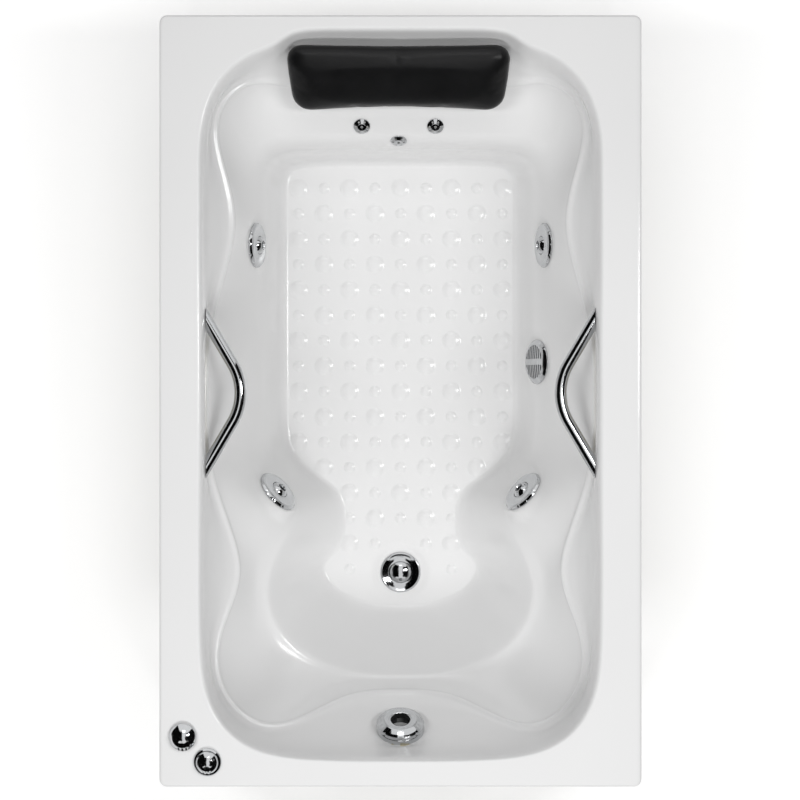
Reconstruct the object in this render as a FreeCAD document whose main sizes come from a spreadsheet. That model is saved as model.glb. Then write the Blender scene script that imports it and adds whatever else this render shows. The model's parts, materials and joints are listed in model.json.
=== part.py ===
import FreeCAD, Part
import math
import os
import Sketcher
from FreeCAD import Placement, Rotation, Vector

# ---------------------------------------------------------------------------
# Jetted bathtub. +Z up, origin on the floor under the middle of the deck,
# +Y towards the head (pillow) end, millimetres.
# ---------------------------------------------------------------------------

doc = FreeCAD.newDocument("jetted_bathtub")
sheet = doc.addObject("Spreadsheet::Sheet", "sizes")


class Size(float):
    """A length that remembers its formula in the sheet."""

    def __new__(cls, value, formula=None):
        made = super().__new__(cls, value)
        made.formula = formula or repr(float(value))
        return made

    def __add__(self, other):
        return Size(float(self) + float(other), f"({self.formula} + {formula_of(other)})")

    def __radd__(self, other):
        return Size(float(other) + float(self), f"({formula_of(other)} + {self.formula})")

    def __sub__(self, other):
        return Size(float(self) - float(other), f"({self.formula} - {formula_of(other)})")

    def __rsub__(self, other):
        return Size(float(other) - float(self), f"({formula_of(other)} - {self.formula})")

    def __mul__(self, other):
        return Size(float(self) * float(other), f"({self.formula} * {formula_of(other)})")

    def __rmul__(self, other):
        return Size(float(other) * float(self), f"({formula_of(other)} * {self.formula})")

    def __truediv__(self, other):
        return Size(float(self) / float(other), f"({self.formula} / {formula_of(other)})")

    def __neg__(self):
        return Size(-float(self), f"(0 - {self.formula})")


def formula_of(value):
    return value.formula if isinstance(value, Size) else repr(float(value))


def size(alias, value):
    """Writes one driving dimension into the sheet and returns it."""
    row = size.row = getattr(size, "row", 0) + 1
    sheet.set(f"A{row}", alias)
    sheet.set(f"B{row}", str(value))
    sheet.setAlias(f"B{row}", alias)
    return Size(value, f"sizes.{alias}")


# Deck and basin
tub_length = size("tub_length", 1600)
tub_width = size("tub_width", 1000)
rim_height = size("rim_height", 560)
deck_corner_radius = size("deck_corner_radius", 16)
edge_chamfer = size("edge_chamfer", 5)
lip_depth = size("lip_depth", 38)
shell_wall = size("shell_wall", 6)
side_deck_width = size("side_deck_width", 89)
head_deck_width = size("head_deck_width", 34)
foot_deck_width = size("foot_deck_width", 61)
basin_depth = size("basin_depth", 425)
rim_round = size("rim_round", 14)
floor_fall = size("floor_fall", 8)
basin_half_width = tub_width / 2 - side_deck_width
basin_head_reach = tub_length / 2 - head_deck_width
basin_foot_reach = tub_length / 2 - foot_deck_width

fit_gap = size("fit_gap", 0.3)
running_gap = size("running_gap", 0.08)
seat_thickness = size("seat_thickness", 14)

# Grab bars
bar_radius = size("bar_radius", 12.5)
bar_drop = size("bar_drop", 40)
bar_bend_radius = size("bar_bend_radius", 120)
bar_stand_off = size("bar_stand_off", 91)
bar_head_end = size("bar_head_end", 172)
bar_foot_end = size("bar_foot_end", -139)
bar_stud_radius = size("bar_stud_radius", 5)
bar_stud_inset = size("bar_stud_inset", 15)

# Large jets and suction, all clamped through the wall by the same collar
jet_barrel_radius = size("jet_barrel_radius", 29)
jet_collar_radius = size("jet_collar_radius", 42)
jet_collar_thickness = size("jet_collar_thickness", 3)
jet_ring_radius = size("jet_ring_radius", 49)
jet_ring_height = size("jet_ring_height", 9)
jet_ball_radius = size("jet_ball_radius", 22)
jet_ball_sink = size("jet_ball_sink", 2)
jet_nozzle_radius = size("jet_nozzle_radius", 8)
jet_back_radius = size("jet_back_radius", 36)
jet_back_length = size("jet_back_length", 50)
gasket_thickness = size("gasket_thickness", 3)
side_jet_x = size("side_jet_x", 315)
side_jet_y = size("side_jet_y", 340)
foot_jet_x = size("foot_jet_x", 268)
foot_jet_y = size("foot_jet_y", -198)
suction_x = size("suction_x", 302)
suction_y = size("suction_y", 86)

# Small back jets
back_jet_radius = size("back_jet_radius", 17.5)
back_jet_barrel_radius = size("back_jet_barrel_radius", 8.5)
back_jet_spacing = size("back_jet_spacing", 79)
back_jet_y = size("back_jet_y", 591)
back_jet_middle_y = size("back_jet_middle_y", 563)

# Waste and overflow
drain_y = size("drain_y", -385)
drain_radius = size("drain_radius", 45)
drain_recess_radius = size("drain_recess_radius", 58)
drain_recess = size("drain_recess", 2)
drain_barrel_radius = size("drain_barrel_radius", 25)
plug_radius = size("plug_radius", 24)
plug_stem_radius = size("plug_stem_radius", 4)
plug_lift = size("plug_lift", 10)
waste_axis_height = size("waste_axis_height", 52)
outlet_radius = size("outlet_radius", 20)
outlet_length = size("outlet_length", 40)
overflow_y = size("overflow_y", -702)
overflow_radius = size("overflow_radius", 51)
overflow_mouth_radius = size("overflow_mouth_radius", 20)
overflow_pipe_radius = size("overflow_pipe_radius", 16)
cable_radius = size("cable_radius", 3)

# Deck controls
air_control_side_inset = size("air_control_side_inset", 49)
air_control_end_inset = size("air_control_end_inset", 104)
button_side_inset = size("button_side_inset", 100)
button_end_inset = size("button_end_inset", 52)
control_radius = size("control_radius", 29)
control_barrel_radius = size("control_barrel_radius", 13)
button_travel = size("button_travel", 4)

# Pillow
pillow_width = size("pillow_width", 476)
pillow_length = size("pillow_length", 158)
pillow_thickness = size("pillow_thickness", 58)
pillow_centre_x = size("pillow_centre_x", -4)

# Base
board_thickness = size("board_thickness", 18)
base_tube = size("base_tube", 30)
rim_tube = size("rim_tube", 20)
tube_wall = size("tube_wall", 2)
foot_stud_radius = size("foot_stud_radius", 6)
foot_pad_radius = size("foot_pad_radius", 20)
foot_inset = size("foot_inset", 110)

# Pump and pipes
pump_end_inset = size("pump_end_inset", 92)
pump_axis_rise = size("pump_axis_rise", 79)
motor_radius = size("motor_radius", 54)
motor_length = size("motor_length", 190)
wet_end_radius = size("wet_end_radius", 60)
wet_end_length = size("wet_end_length", 56)
shaft_radius = size("shaft_radius", 7)
pipe_radius = size("pipe_radius", 16)
suction_pipe_radius = size("suction_pipe_radius", 21)
air_tube_radius = size("air_tube_radius", 6)
button_tube_radius = size("button_tube_radius", 3)

# The basin's form, drawn at half breadth from the middle of the head wall to the
# middle of the foot wall: for each station the line of the opening, the ledge,
# the wall, the hip and the floor, as (x, y) or (x, y, depth under the deck).
OPENING = [(0, 766), (129, 766), (226, 766), (252, 733), (316, 716), (382, 658), (411, 567), (411, 480),
           (411, 372), (411, 247), (411, 116), (411, -8), (411, -102), (411, -172), (411, -226), (411, -276),
           (411, -330), (411, -396), (411, -496), (403, -633), (316, -729), (156, -739), (0, -739)]
LEDGE = [(0, 668, 138), (131, 668, 138), (237, 668, 138), (271, 675, 132), (322, 676, 124), (368, 643, 114),
         (393, 581, 105), (377, 504, 118), (340, 381, 140), (379, 247, 112), (406, 117, 78), (407, -8, 75),
         (404, -103, 80), (391, -175, 97), (373, -231, 118), (355, -287, 136), (339, -347, 148), (347, -413, 146),
         (391, -507, 125), (385, -620, 112), (272, -721, 135), (125, -624, 222), (0, -627, 238)]
WALL = [(0, 548, 196), (130, 548, 196), (233, 548, 198), (272, 545, 203), (302, 537, 210), (322, 520, 218),
        (331, 496, 226), (331, 450, 230), (325, 384, 235), (329, 258, 232), (337, 121, 225), (337, -9, 222),
        (334, -112, 214), (318, -172, 203), (268, -226, 196), (284, -285, 200), (312, -343, 212), (318, -414, 232),
        (311, -493, 250), (261, -569, 262), (185, -604, 268), (92, -609, 272), (0, -609, 274)]
HIP = [(0, 546, 300), (132, 546, 300), (220, 543, 302), (260, 536, 306), (282, 523, 312), (293, 500, 320),
       (295, 469, 320), (295, 432, 320), (295, 366, 320), (295, 244, 320), (297, 123, 320), (298, 2, 318),
       (298, -100, 312), (276, -162, 304), (216, -212, 296), (222, -268, 262), (266, -332, 230), (291, -410, 240),
       (270, -490, 258), (214, -547, 266), (135, -583, 272), (66, -592, 275), (0, -592, 276)]
FLOOR = [(0, 541), (135, 541), (213, 539), (247, 528), (263, 510), (267, 483), (267, 451), (267, 416),
         (267, 362), (267, 249), (267, 126), (267, 2), (267, -115), (202, -173), (139, -209), (135, -267),
         (144, -330), (198, -357), (166, -429), (108, -456), (67, -469), (34, -474), (0, -474)]
DRAWN_HALF_WIDTH = 411
DRAWN_HEAD_REACH = 766
DRAWN_FOOT_REACH = 739
DRAWN_DEPTH = 425


def at_size(x, y, depth):
    """Stretches a drawn point of the basin to the tub's own sizes."""
    reach = basin_head_reach / DRAWN_HEAD_REACH if y > 0 else basin_foot_reach / DRAWN_FOOT_REACH
    return Vector(x * basin_half_width / DRAWN_HALF_WIDTH, y * reach,
                  rim_height - depth * basin_depth / DRAWN_DEPTH)


def inset(line, distance):
    """A drawn line moved towards the basin's inside by a distance, at half breadth."""
    moved = []
    for place, point in enumerate(line):
        before = line[max(place - 1, 0)]
        after = line[min(place + 1, len(line) - 1)]
        run = Vector(after[0] - before[0], after[1] - before[1], 0).normalize()
        if place in (0, len(line) - 1):
            run = Vector(1 if place == 0 else -1, 0, 0)
        moved.append((point[0] + run.y * distance, point[1] - run.x * distance) + tuple(point[2:]))
    return moved


def drawn_rows():
    """The rows of the basin's net, from the deck down to the floor, at half breadth."""
    upper_wall = [(x, y, 0.55 * ledge[2]) for (x, y), ledge in zip(inset(OPENING, 7), LEDGE)]
    return [
        [(x, y, 0) for x, y in inset(OPENING, -rim_round)],
        [(x, y, 0) for x, y in OPENING],
        upper_wall,
        [(x, y, depth - 5) for x, y, depth in inset(LEDGE, -16)],
        [(x, y, depth) for x, y, depth in inset(LEDGE, -1)],
        [(x, y, depth + 14) for x, y, depth in inset(LEDGE, 4)],
        WALL,
        [(x, y, depth - 3) for x, y, depth in inset(HIP, -7)],
        [(x, y, depth + 9) for x, y, depth in inset(HIP, 3)],
        [(x, y, DRAWN_DEPTH) for x, y in FLOOR],
        [(x, y, DRAWN_DEPTH) for x, y in inset(FLOOR, 22)],
    ]


def closed_row(row):
    """Both halves of a row, as one ring that starts at the middle of the head wall."""
    left = [at_size(-x, y, depth) for x, y, depth in row]
    right = [at_size(x, y, depth) for x, y, depth in row[-2:0:-1]]
    return left + right


def fall(point):
    """How far the floor lies above its lowest, at the drain end."""
    return floor_fall * (point.y + basin_foot_reach) / (basin_head_reach + basin_foot_reach)


def inner_net():
    rows = [closed_row(row) for row in drawn_rows()]
    for row in rows[-2:]:
        for point in row:
            point.z += fall(point)
    return rows


def outer_net(rows):
    """The net of the shell's hidden side: each point moved out by the wall along the net's own normal."""
    count = len(rows[0])
    moved = []
    for level, row in enumerate(rows):
        above = rows[max(level - 1, 0)]
        below = rows[min(level + 1, len(rows) - 1)]
        line = []
        for place, point in enumerate(row):
            along = row[(place + 1) % count] - row[place - 1]
            down = below[place] - above[place]
            line.append(point + down.cross(along).normalize() * shell_wall)
        moved.append(line)
    for place in range(count):
        moved[0][place] = rows[0][place] - Vector(0, 0, shell_wall)
        for level in (-1, -2):
            moved[level][place].z = rim_height - basin_depth - shell_wall
    return moved


def blend(four, share):
    """The point of a smooth (uniform cubic) curve between the middle two of four net points."""
    weights = ((1 - share) ** 3, 3 * share ** 3 - 6 * share ** 2 + 4,
               -3 * share ** 3 + 3 * share ** 2 + 3 * share + 1, share ** 3)
    total = Vector()
    for point, weight in zip(four, weights):
        total = total + point * (weight / 6)
    return total


def net_point(rows, station, level):
    """A point of the smooth surface of a net: station counts round the ring, level counts rows down."""
    padded = [rows[0]] * 2 + rows + [rows[-1]] * 2
    count = len(rows[0])
    top = min(int(level), len(padded) - 4)
    first = math.floor(station)
    across = []
    for row in padded[top:top + 4]:
        four = [row[(first + step) % count] for step in (-1, 0, 1, 2)]
        across.append(blend(four, station - first))
    return blend(across, level - top)


def stations_round(count):
    """Where facets meet round the ring: every drawn station, and between them in the bends."""
    straight = set(range(7, 12)) | {0, 21}
    places = []
    for station in range(count):
        half = min(station, count - station)
        next_half = min(station + 1, count - station - 1)
        places.append(station)
        if min(half, next_half) not in straight:
            places.append(station + 0.5)
    return places


LEVELS = [0, 1.3, 2, 2.6, 3.4, 4.2, 4.7, 5.2, 5.7, 6.3, 7, 7.6, 8, 8.5, 9, 9.5, 10, 10.6, 12]


def panel_faces(upper, lower):
    """Flat panels between two rings of points."""
    faces = []
    count = len(upper)
    for place in range(count):
        a, b = upper[place], upper[(place + 1) % count]
        c, d = lower[(place + 1) % count], lower[place]
        if a.distanceToPoint(c) < b.distanceToPoint(d):
            corners = [(a, b, c), (a, c, d)]
        else:
            corners = [(a, b, d), (b, c, d)]
        for three in corners:
            faces.append(Part.Face(Part.makePolygon(list(three) + [three[0]])))
    return faces


def ring_wire(points):
    return Part.makePolygon(points + [points[0]])


def rounded_ring(length, width, radius, level):
    """A closed rectangle with round corners at a level."""
    x = width / 2
    y = length / 2
    edges = []
    corners = [(x, y, 0), (-x, y, 90), (-x, -y, 180), (x, -y, 270)]
    ends = []
    for cx, cy, turn in corners:
        middle = Vector(cx - math.copysign(radius, cx), cy - math.copysign(radius, cy), level)
        circle = Part.Circle(middle, Vector(0, 0, 1), radius)
        arc = Part.Arc(circle, math.radians(turn), math.radians(turn + 90))
        edges.append(arc.toShape())
        ends.append((arc.StartPoint, arc.EndPoint))
    for place in range(4):
        edges.append(Part.LineSegment(ends[place][1], ends[(place + 1) % 4][0]).toShape())
    return Part.Wire(Part.__sortEdges__(edges))


def wall_of(ring, drop):
    """The upright faces under a ring."""
    return ring.extrude(Vector(0, 0, -drop)).Faces


def moved_down(ring, drop):
    copy = ring.copy()
    copy.translate(Vector(0, 0, -drop))
    return copy


def holed_face(outline, opening):
    return Part.makeFace([outline, opening], "Part::FaceMakerBullseye")


NET = inner_net()
OUTER_NET = outer_net(NET)


def bare_shell():
    """Deck, rolled lip and basin as one closed skin of even wall."""
    stations = stations_round(len(NET[0]))
    faces = []
    tops = []
    for net in (NET, OUTER_NET):
        rings = [[net_point(net, station, level) for station in stations] for level in LEVELS]
        for upper, lower in zip(rings, rings[1:]):
            faces.extend(panel_faces(upper, lower))
        faces.append(Part.Face(ring_wire(rings[-1])))
        tops.append(ring_wire(rings[0]))
    edge = rounded_ring(tub_length, tub_width, deck_corner_radius, rim_height)
    inner_edge = rounded_ring(tub_length - 2 * shell_wall, tub_width - 2 * shell_wall,
                              deck_corner_radius - shell_wall, rim_height - shell_wall)
    faces.append(holed_face(edge, tops[0]))
    faces.append(holed_face(inner_edge, tops[1]))
    faces.extend(wall_of(edge, lip_depth))
    faces.extend(wall_of(inner_edge, lip_depth - shell_wall))
    faces.append(holed_face(moved_down(edge, lip_depth), moved_down(inner_edge, lip_depth - shell_wall)))
    skin = Part.Shell(faces)
    skin.sewShape()
    solid = Part.Solid(skin)
    if solid.Volume < 0:
        solid.reverse()
    upper_edges = [edge for edge in solid.Edges
                   if abs(edge.BoundBox.ZMin - rim_height) < 0.001
                   and max(abs(edge.CenterOfMass.x) - tub_width / 2, abs(edge.CenterOfMass.y) - tub_length / 2)
                   > -deck_corner_radius / 2]
    return solid.makeChamfer(float(edge_chamfer), upper_edges).Solids[0]


# ---------------------------------------------------------------------------
# Seats: a fitting's own frame on the wall, +Z out of the wall into the basin
# ---------------------------------------------------------------------------

def wall_frame(drawn_x, drawn_y, highest, lowest):
    """The frame of the basin's wall over a drawn place, with its Y axis towards the head."""
    aim = at_size(drawn_x, drawn_y, 0)
    best = None
    for step in range(int((lowest - highest) * 8) + 1):
        level = highest + step / 8
        for half_turn in range(2 * len(NET[0])):
            station = half_turn / 2
            point = net_point(NET, station, level)
            miss = math.hypot(point.x - aim.x, point.y - aim.y)
            if best is None or miss < best[0]:
                best = (miss, station, level)
    station, level = best[1:]
    small = 0.01
    for _ in range(8):
        point = net_point(NET, station, level)
        round_step = (net_point(NET, station + small, level) - point) / small
        down_step = (net_point(NET, station, level + small) - point) / small
        spread = round_step.x * down_step.y - round_step.y * down_step.x
        gap_x = aim.x - point.x
        gap_y = aim.y - point.y
        station += (gap_x * down_step.y - gap_y * down_step.x) / spread
        level += (round_step.x * gap_y - round_step.y * gap_x) / spread
    point = net_point(NET, station, level)
    normal = round_step.cross(down_step).normalize()
    if normal.z < 0:
        normal = -normal
    return frame_at(point, normal)


def frame_at(point, normal, side=Vector(0, 1, 0)):
    """A placement with +Z along the normal and +Y as near as may be to a side."""
    return Placement(point, Rotation(Vector(), side - normal * side.dot(normal), normal, "ZYX"))


def along(frame, x, y, z):
    return frame.multVec(Vector(x, y, z))


# ---------------------------------------------------------------------------
# Makers of pieces
# ---------------------------------------------------------------------------

pieces = []


def keep(piece, label, placement=None):
    """Names a finished piece and puts it in its place."""
    piece.Label = label
    if placement is not None:
        piece.Placement = placement
    pieces.append(piece)
    return piece


def origin_plane(body, role):
    return [plane for plane in body.Origin.OriginFeatures if plane.Role == role][0]


def bound_outline(body, role, outline):
    """A closed sketch whose every corner is bound to its formulas."""
    sketch = body.newObject("Sketcher::SketchObject", "outline")
    sketch.AttachmentSupport = [(origin_plane(body, role), "")]
    sketch.MapMode = "FlatFace"
    count = len(outline)
    for place in range(count):
        start = Vector(outline[place][0], outline[place][1], 0)
        end = Vector(outline[(place + 1) % count][0], outline[(place + 1) % count][1], 0)
        sketch.addGeometry(Part.LineSegment(start, end), False)
    for place in range(count):
        sketch.addConstraint(Sketcher.Constraint("Coincident", place, 2, (place + 1) % count, 1))
    for place, corner in enumerate(outline):
        for kind, value, own_axis in (("DistanceX", corner[0], -2), ("DistanceY", corner[1], -1)):
            if float(value) == 0:
                sketch.addConstraint(Sketcher.Constraint("PointOnObject", place, 1, own_axis))
                continue
            rule = sketch.addConstraint(Sketcher.Constraint(kind, -1, 1, place, 1, float(value)))
            if isinstance(value, Size):
                sketch.setExpression(f"Constraints[{rule}]", value.formula)
    return sketch


def turned(name, outline):
    """A turned body: an outline of (radius, height) corners revolved about its own Z."""
    body = doc.addObject("PartDesign::Body", name)
    sketch = bound_outline(body, "XZ_Plane", outline)
    turn = body.newObject("PartDesign::Revolution", "turn")
    turn.Profile = sketch
    turn.ReferenceAxis = (sketch, ["V_Axis"])
    turn.Angle = 360
    return body


def plate(name, outline, thickness):
    """A flat body: an outline of (x, y) corners padded up from its own XY plane."""
    body = doc.addObject("PartDesign::Body", name)
    pad = body.newObject("PartDesign::Pad", "pad")
    pad.Profile = bound_outline(body, "XY_Plane", outline)
    pad.Length = float(thickness)
    if isinstance(thickness, Size):
        pad.setExpression("Length", thickness.formula)
    return body


def block(name, length_x, length_y, length_z):
    """A rectangular block centred on its own Z axis, from z = 0 up."""
    half_x = length_x / 2
    half_y = length_y / 2
    return plate(name, [(-half_x, -half_y), (half_x, -half_y), (half_x, half_y), (-half_x, half_y)], length_z)


def shaped(label, shape, placement=None):
    """A piece whose form is made here in code."""
    piece = doc.addObject("Part::Feature", label)
    piece.Shape = shape
    return keep(piece, label, placement)


def group(label, master, placements):
    """Identical pieces, each a separate solid, as one node."""
    copies = []
    for placement in placements:
        copy = master.Shape.copy()
        copy.Placement = placement.multiply(copy.Placement)
        copies.append(copy)
    return shaped(label, Part.makeCompound(copies))


def rod(radius, length, start, direction):
    return Part.makeCylinder(float(radius), float(length), start, direction)


def hexagon(radius, height, start, direction=Vector(0, 0, 1)):
    ring = Part.makePolygon([Vector(radius * math.cos(math.radians(60 * k)),
                                    radius * math.sin(math.radians(60 * k)), 0) for k in range(7)])
    prism = Part.Face(ring).extrude(Vector(0, 0, float(height)))
    prism.Placement = frame_at(start, direction, Vector(0, 1, 0.001))
    return prism


def path_wire(points, bend):
    """Straight runs joined by tangent arcs, each as large as its runs and the given bend allow."""
    edges = []
    start = points[0]
    for before, corner, after in zip(points, points[1:], points[2:]):
        inward = (corner - before).normalize()
        outward = (after - corner).normalize()
        half_turn = inward.getAngle(outward) / 2
        room = 0.48 * min((corner - before).Length, (after - corner).Length)
        radius = min(float(bend), room / math.tan(half_turn))
        reach = radius * math.tan(half_turn)
        arc_start = corner - inward * reach
        arc_end = corner + outward * reach
        to_middle = (outward - inward).normalize()
        arc_middle = corner + to_middle * (radius / math.cos(half_turn) - radius)
        edges.append(Part.LineSegment(start, arc_start).toShape())
        edges.append(Part.Arc(arc_start, arc_middle, arc_end).toShape())
        start = arc_end
    edges.append(Part.LineSegment(start, points[-1]).toShape())
    return Part.Wire(edges)


def tube(points, radius, bend):
    """A round tube along a route."""
    spine = path_wire(points, bend)
    section = Part.Wire(Part.Circle(points[0], points[1] - points[0], float(radius)).toShape())
    return spine.makePipeShell([section], True, False, 2)


# ---------------------------------------------------------------------------
# Frames of all the fittings
# ---------------------------------------------------------------------------

side_jets = [wall_frame(side * side_jet_x, side_jet_y, 6, 10) for side in (-1, 1)]
foot_jets = [wall_frame(side * foot_jet_x, foot_jet_y, 6, 10) for side in (-1, 1)]
large_jets = side_jets + foot_jets
suction = wall_frame(suction_x, suction_y, 6, 10)
back_jets = [
    wall_frame(pillow_centre_x - back_jet_spacing, back_jet_y, 5, 9),
    wall_frame(pillow_centre_x, back_jet_middle_y, 5, 9),
    wall_frame(pillow_centre_x + back_jet_spacing, back_jet_y, 5, 9),
]
overflow = wall_frame(0, overflow_y, 2, 6)
floor_level = rim_height - basin_depth
floor_underside = floor_level - shell_wall
drain_spot = at_size(0, drain_y, DRAWN_DEPTH)
drain = Placement(drain_spot + Vector(0, 0, fall(drain_spot) - drain_recess), Rotation())
air_control = Placement(Vector(air_control_side_inset - tub_width / 2, air_control_end_inset - tub_length / 2,
                               rim_height), Rotation())
button = Placement(Vector(button_side_inset - tub_width / 2, button_end_inset - tub_length / 2, rim_height),
                   Rotation())

# ---------------------------------------------------------------------------
# Tub shell
# ---------------------------------------------------------------------------


def seat(frame, radius, thickness, clear):
    """A flat pad behind the wall, and the space in front of it."""
    pad = rod(radius, thickness, Vector(0, 0, -thickness), Vector(0, 0, 1))
    space = rod(radius + fit_gap, clear, Vector(), Vector(0, 0, 1))
    pad.Placement = frame
    space.Placement = frame
    return pad, space


def through(frame, radius, depth=60):
    hole = rod(radius, 2 * depth, Vector(0, 0, -depth), Vector(0, 0, 1))
    hole.Placement = frame
    return hole


def tub_shell():
    solid = bare_shell()
    seats = [(frame, jet_ring_radius + 2, seat_thickness) for frame in large_jets + [suction]]
    seats += [(frame, back_jet_radius + 2, seat_thickness) for frame in back_jets]
    seats += [(overflow, overflow_radius + 2, seat_thickness)]
    pads = []
    cuts = []
    for frame, radius, thickness in seats:
        pad, space = seat(frame, radius, thickness, 14)
        pads.append(pad)
        cuts.append(space)
        spot_face = rod(radius, 10, Vector(0, 0, -thickness - 10), Vector(0, 0, 1))
        spot_face.Placement = frame
        cuts.append(spot_face)
    solid = solid.fuse(pads)
    cuts += [through(frame, jet_barrel_radius + fit_gap) for frame in large_jets + [suction]]
    cuts += [through(frame, back_jet_barrel_radius + fit_gap) for frame in back_jets]
    cuts += [through(overflow, overflow_mouth_radius + 8 + fit_gap)]
    cuts += [rod(drain_recess_radius, 20, drain.Base, Vector(0, 0, 1))]
    cuts += [through(drain, drain_barrel_radius + fit_gap, 30)]
    cuts += [through(frame, control_barrel_radius + fit_gap, 20) for frame in (air_control, button)]
    for frame in bar_studs:
        cuts.append(through(frame, bar_stud_radius + fit_gap, 30))
    return solid.cut(cuts).Solids[0]


# Grab bars end flat against the wall, each end drawn up to it by a stud from behind.
bar_height = rim_height - bar_drop


def wall_x(y, height):
    """How far the basin's wall stands from the middle, at a place along the tub and a height."""
    reach = 0
    for step in range(400):
        station = 4 + step * 15 / 400
        low, high = 1.0, 5.0
        for _ in range(24):
            level = (low + high) / 2
            if net_point(NET, station, level).z > height:
                low = level
            else:
                high = level
        point = net_point(NET, station, level)
        if abs(point.y - y) < 4:
            reach = max(reach, abs(point.x))
    return reach


bar_wall = min(wall_x(bar_head_end, bar_height), wall_x(bar_foot_end, bar_height),
               wall_x(bar_head_end - 30, bar_height), wall_x(bar_foot_end + 30, bar_height))
bar_studs = []
for side in (-1, 1):
    for end, turn in ((bar_head_end, -1), (bar_foot_end, 1)):
        spot = Vector(side * (bar_wall - 1), end + turn * bar_stud_inset, bar_height)
        bar_studs.append(frame_at(spot, Vector(-side, 0, 0)))

shaped("tub_shell", tub_shell())

# ---------------------------------------------------------------------------
# Base: board, welded box-section frame, levelling feet
# ---------------------------------------------------------------------------

board_underside = floor_underside - board_thickness
rail_height = board_underside - base_tube
rail_x = tub_width / 2 - shell_wall - 1 - base_tube / 2
frame_gap = 4
rim_rail_x = tub_width / 2 - shell_wall - frame_gap - rim_tube / 2
rail_end_y = tub_length / 2 - shell_wall - frame_gap
end_rail_drop = 60
rim_rail_underside = rim_height - shell_wall - rim_tube
board_corner = at_size(236, 512, 0)
board_half_width = board_corner.x
board_head_y = board_corner.y
board_foot_y = at_size(0, -462, 0).y
board_waste_hole = 62


def box_tube(start, end, side, wall=tube_wall):
    """A square tube with its two ends open, from one point to another."""
    run = end - start
    outer = Part.makeBox(float(side), float(side), run.Length, Vector(-side / 2, -side / 2, 0))
    core = side - 2 * wall
    bore = Part.makeBox(float(core), float(core), run.Length, Vector(-core / 2, -core / 2, 0))
    made = outer.cut(bore)
    made.Placement = frame_at(start, run.normalize(), Vector(0, 0, 1) if abs(run.z) < 0.5 else Vector(0, 1, 0))
    return made


board = plate("board", [(-board_half_width, board_foot_y), (board_half_width, board_foot_y),
                        (board_half_width, board_head_y), (-board_half_width, board_head_y)], board_thickness)
waste_hole = doc.addObject("Part::Cylinder", "waste_hole")
waste_hole.Radius = board_waste_hole
waste_hole.setExpression("Height", board_thickness.formula)
waste_hole.Placement = Placement(Vector(0, drain.Base.y, 0), Rotation())
bored_board = doc.addObject("Part::Cut", "bored_board")
bored_board.Base = board
bored_board.Tool = waste_hole
doc.recompute()
keep(bored_board, "base_board", Placement(Vector(0, 0, board_underside), Rotation()))

feet_places = [Vector(x * rail_x, y * (tub_length / 2 - foot_inset), 0) for x in (-1, 1) for y in (-1, 1)]
rail_middle = rail_height + base_tube / 2
side_rails = [box_tube(Vector(side * rail_x, -rail_end_y, rail_middle),
                       Vector(side * rail_x, rail_end_y, rail_middle), base_tube) for side in (-1, 1)]
stud_holes = [rod(foot_stud_radius + running_gap, tube_wall + 2, place + Vector(0, 0, rail_height - 1),
                  Vector(0, 0, 1)) for place in feet_places]
crossbar_reach = rail_x - base_tube / 2
pump_y = tub_length / 2 - pump_end_inset
board_bars = 4
bar_inset = 16
first_bar = board_foot_y - bar_inset
bar_pitch = (board_head_y - 2 * bar_inset - first_bar) / (board_bars - 1)
crossbar_places = [-(rail_end_y - base_tube / 2)]
crossbar_places += [first_bar + k * bar_pitch for k in range(board_bars)]
crossbar_places += [pump_y - 58, rail_end_y - base_tube / 2]
crossbars = [box_tube(Vector(-crossbar_reach, y, rail_middle), Vector(crossbar_reach, y, rail_middle), base_tube)
             for y in crossbar_places]
shaped("base_frame", Part.makeCompound([rail.cut(stud_holes) for rail in side_rails] + crossbars))

upright_places = [(x * rim_rail_x, y) for x in (-1, 1) for y in (-rail_end_y + rim_tube / 2, 0,
                                                                rail_end_y - rim_tube / 2)]
uprights = [box_tube(Vector(x, y, board_underside), Vector(x, y, rim_rail_underside), rim_tube)
            for x, y in upright_places]
rim_rail_middle = rim_rail_underside + rim_tube / 2
end_rail_y = rail_end_y - rim_tube / 2
end_rail_x = rim_rail_x - rim_tube / 2
long_rails = [box_tube(Vector(side * rim_rail_x, -rail_end_y, rim_rail_middle),
                       Vector(side * rim_rail_x, rail_end_y, rim_rail_middle), rim_tube) for side in (-1, 1)]
end_rails = [box_tube(Vector(-end_rail_x, side * end_rail_y, rim_rail_middle - end_rail_drop),
                      Vector(end_rail_x, side * end_rail_y, rim_rail_middle - end_rail_drop), rim_tube)
             for side in (-1, 1)]
shaped("rim_frame", Part.makeCompound(uprights + long_rails + end_rails))

foot_hex_radius = 9
pad_height = 10
hex_height = 6
locknut_height = 7
stud_top = rail_height + tube_wall + 14
for number, place in enumerate(feet_places, 1):
    stud = turned(f"foot_stud_{number}", [
        (0, 0), (foot_pad_radius - 3, 0), (foot_pad_radius, 3), (foot_pad_radius - 2, pad_height - 3),
        (foot_hex_radius + 3, pad_height), (foot_stud_radius, pad_height), (foot_stud_radius, stud_top - 1),
        (foot_stud_radius - 1, stud_top), (0, stud_top)])
    doc.recompute()
    flats = hexagon(foot_hex_radius + 1, hex_height, Vector(0, 0, pad_height))
    shaped(f"levelling_foot_{number}", stud.Shape.fuse(flats).removeSplitter(), Placement(place, Rotation()))

locknuts = []
for place in feet_places:
    nut = hexagon(foot_hex_radius + 1, locknut_height, place + Vector(0, 0, rail_height - locknut_height))
    locknuts.append(nut.cut(rod(foot_stud_radius + running_gap, locknut_height, nut.Placement.Base,
                                Vector(0, 0, 1))))
shaped("foot_locknuts", Part.makeCompound(locknuts))

# ---------------------------------------------------------------------------
# Large jets: collar and gasket through the wall, back chamber with its ports,
# turning ring and swivelling ball
# ---------------------------------------------------------------------------

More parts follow.
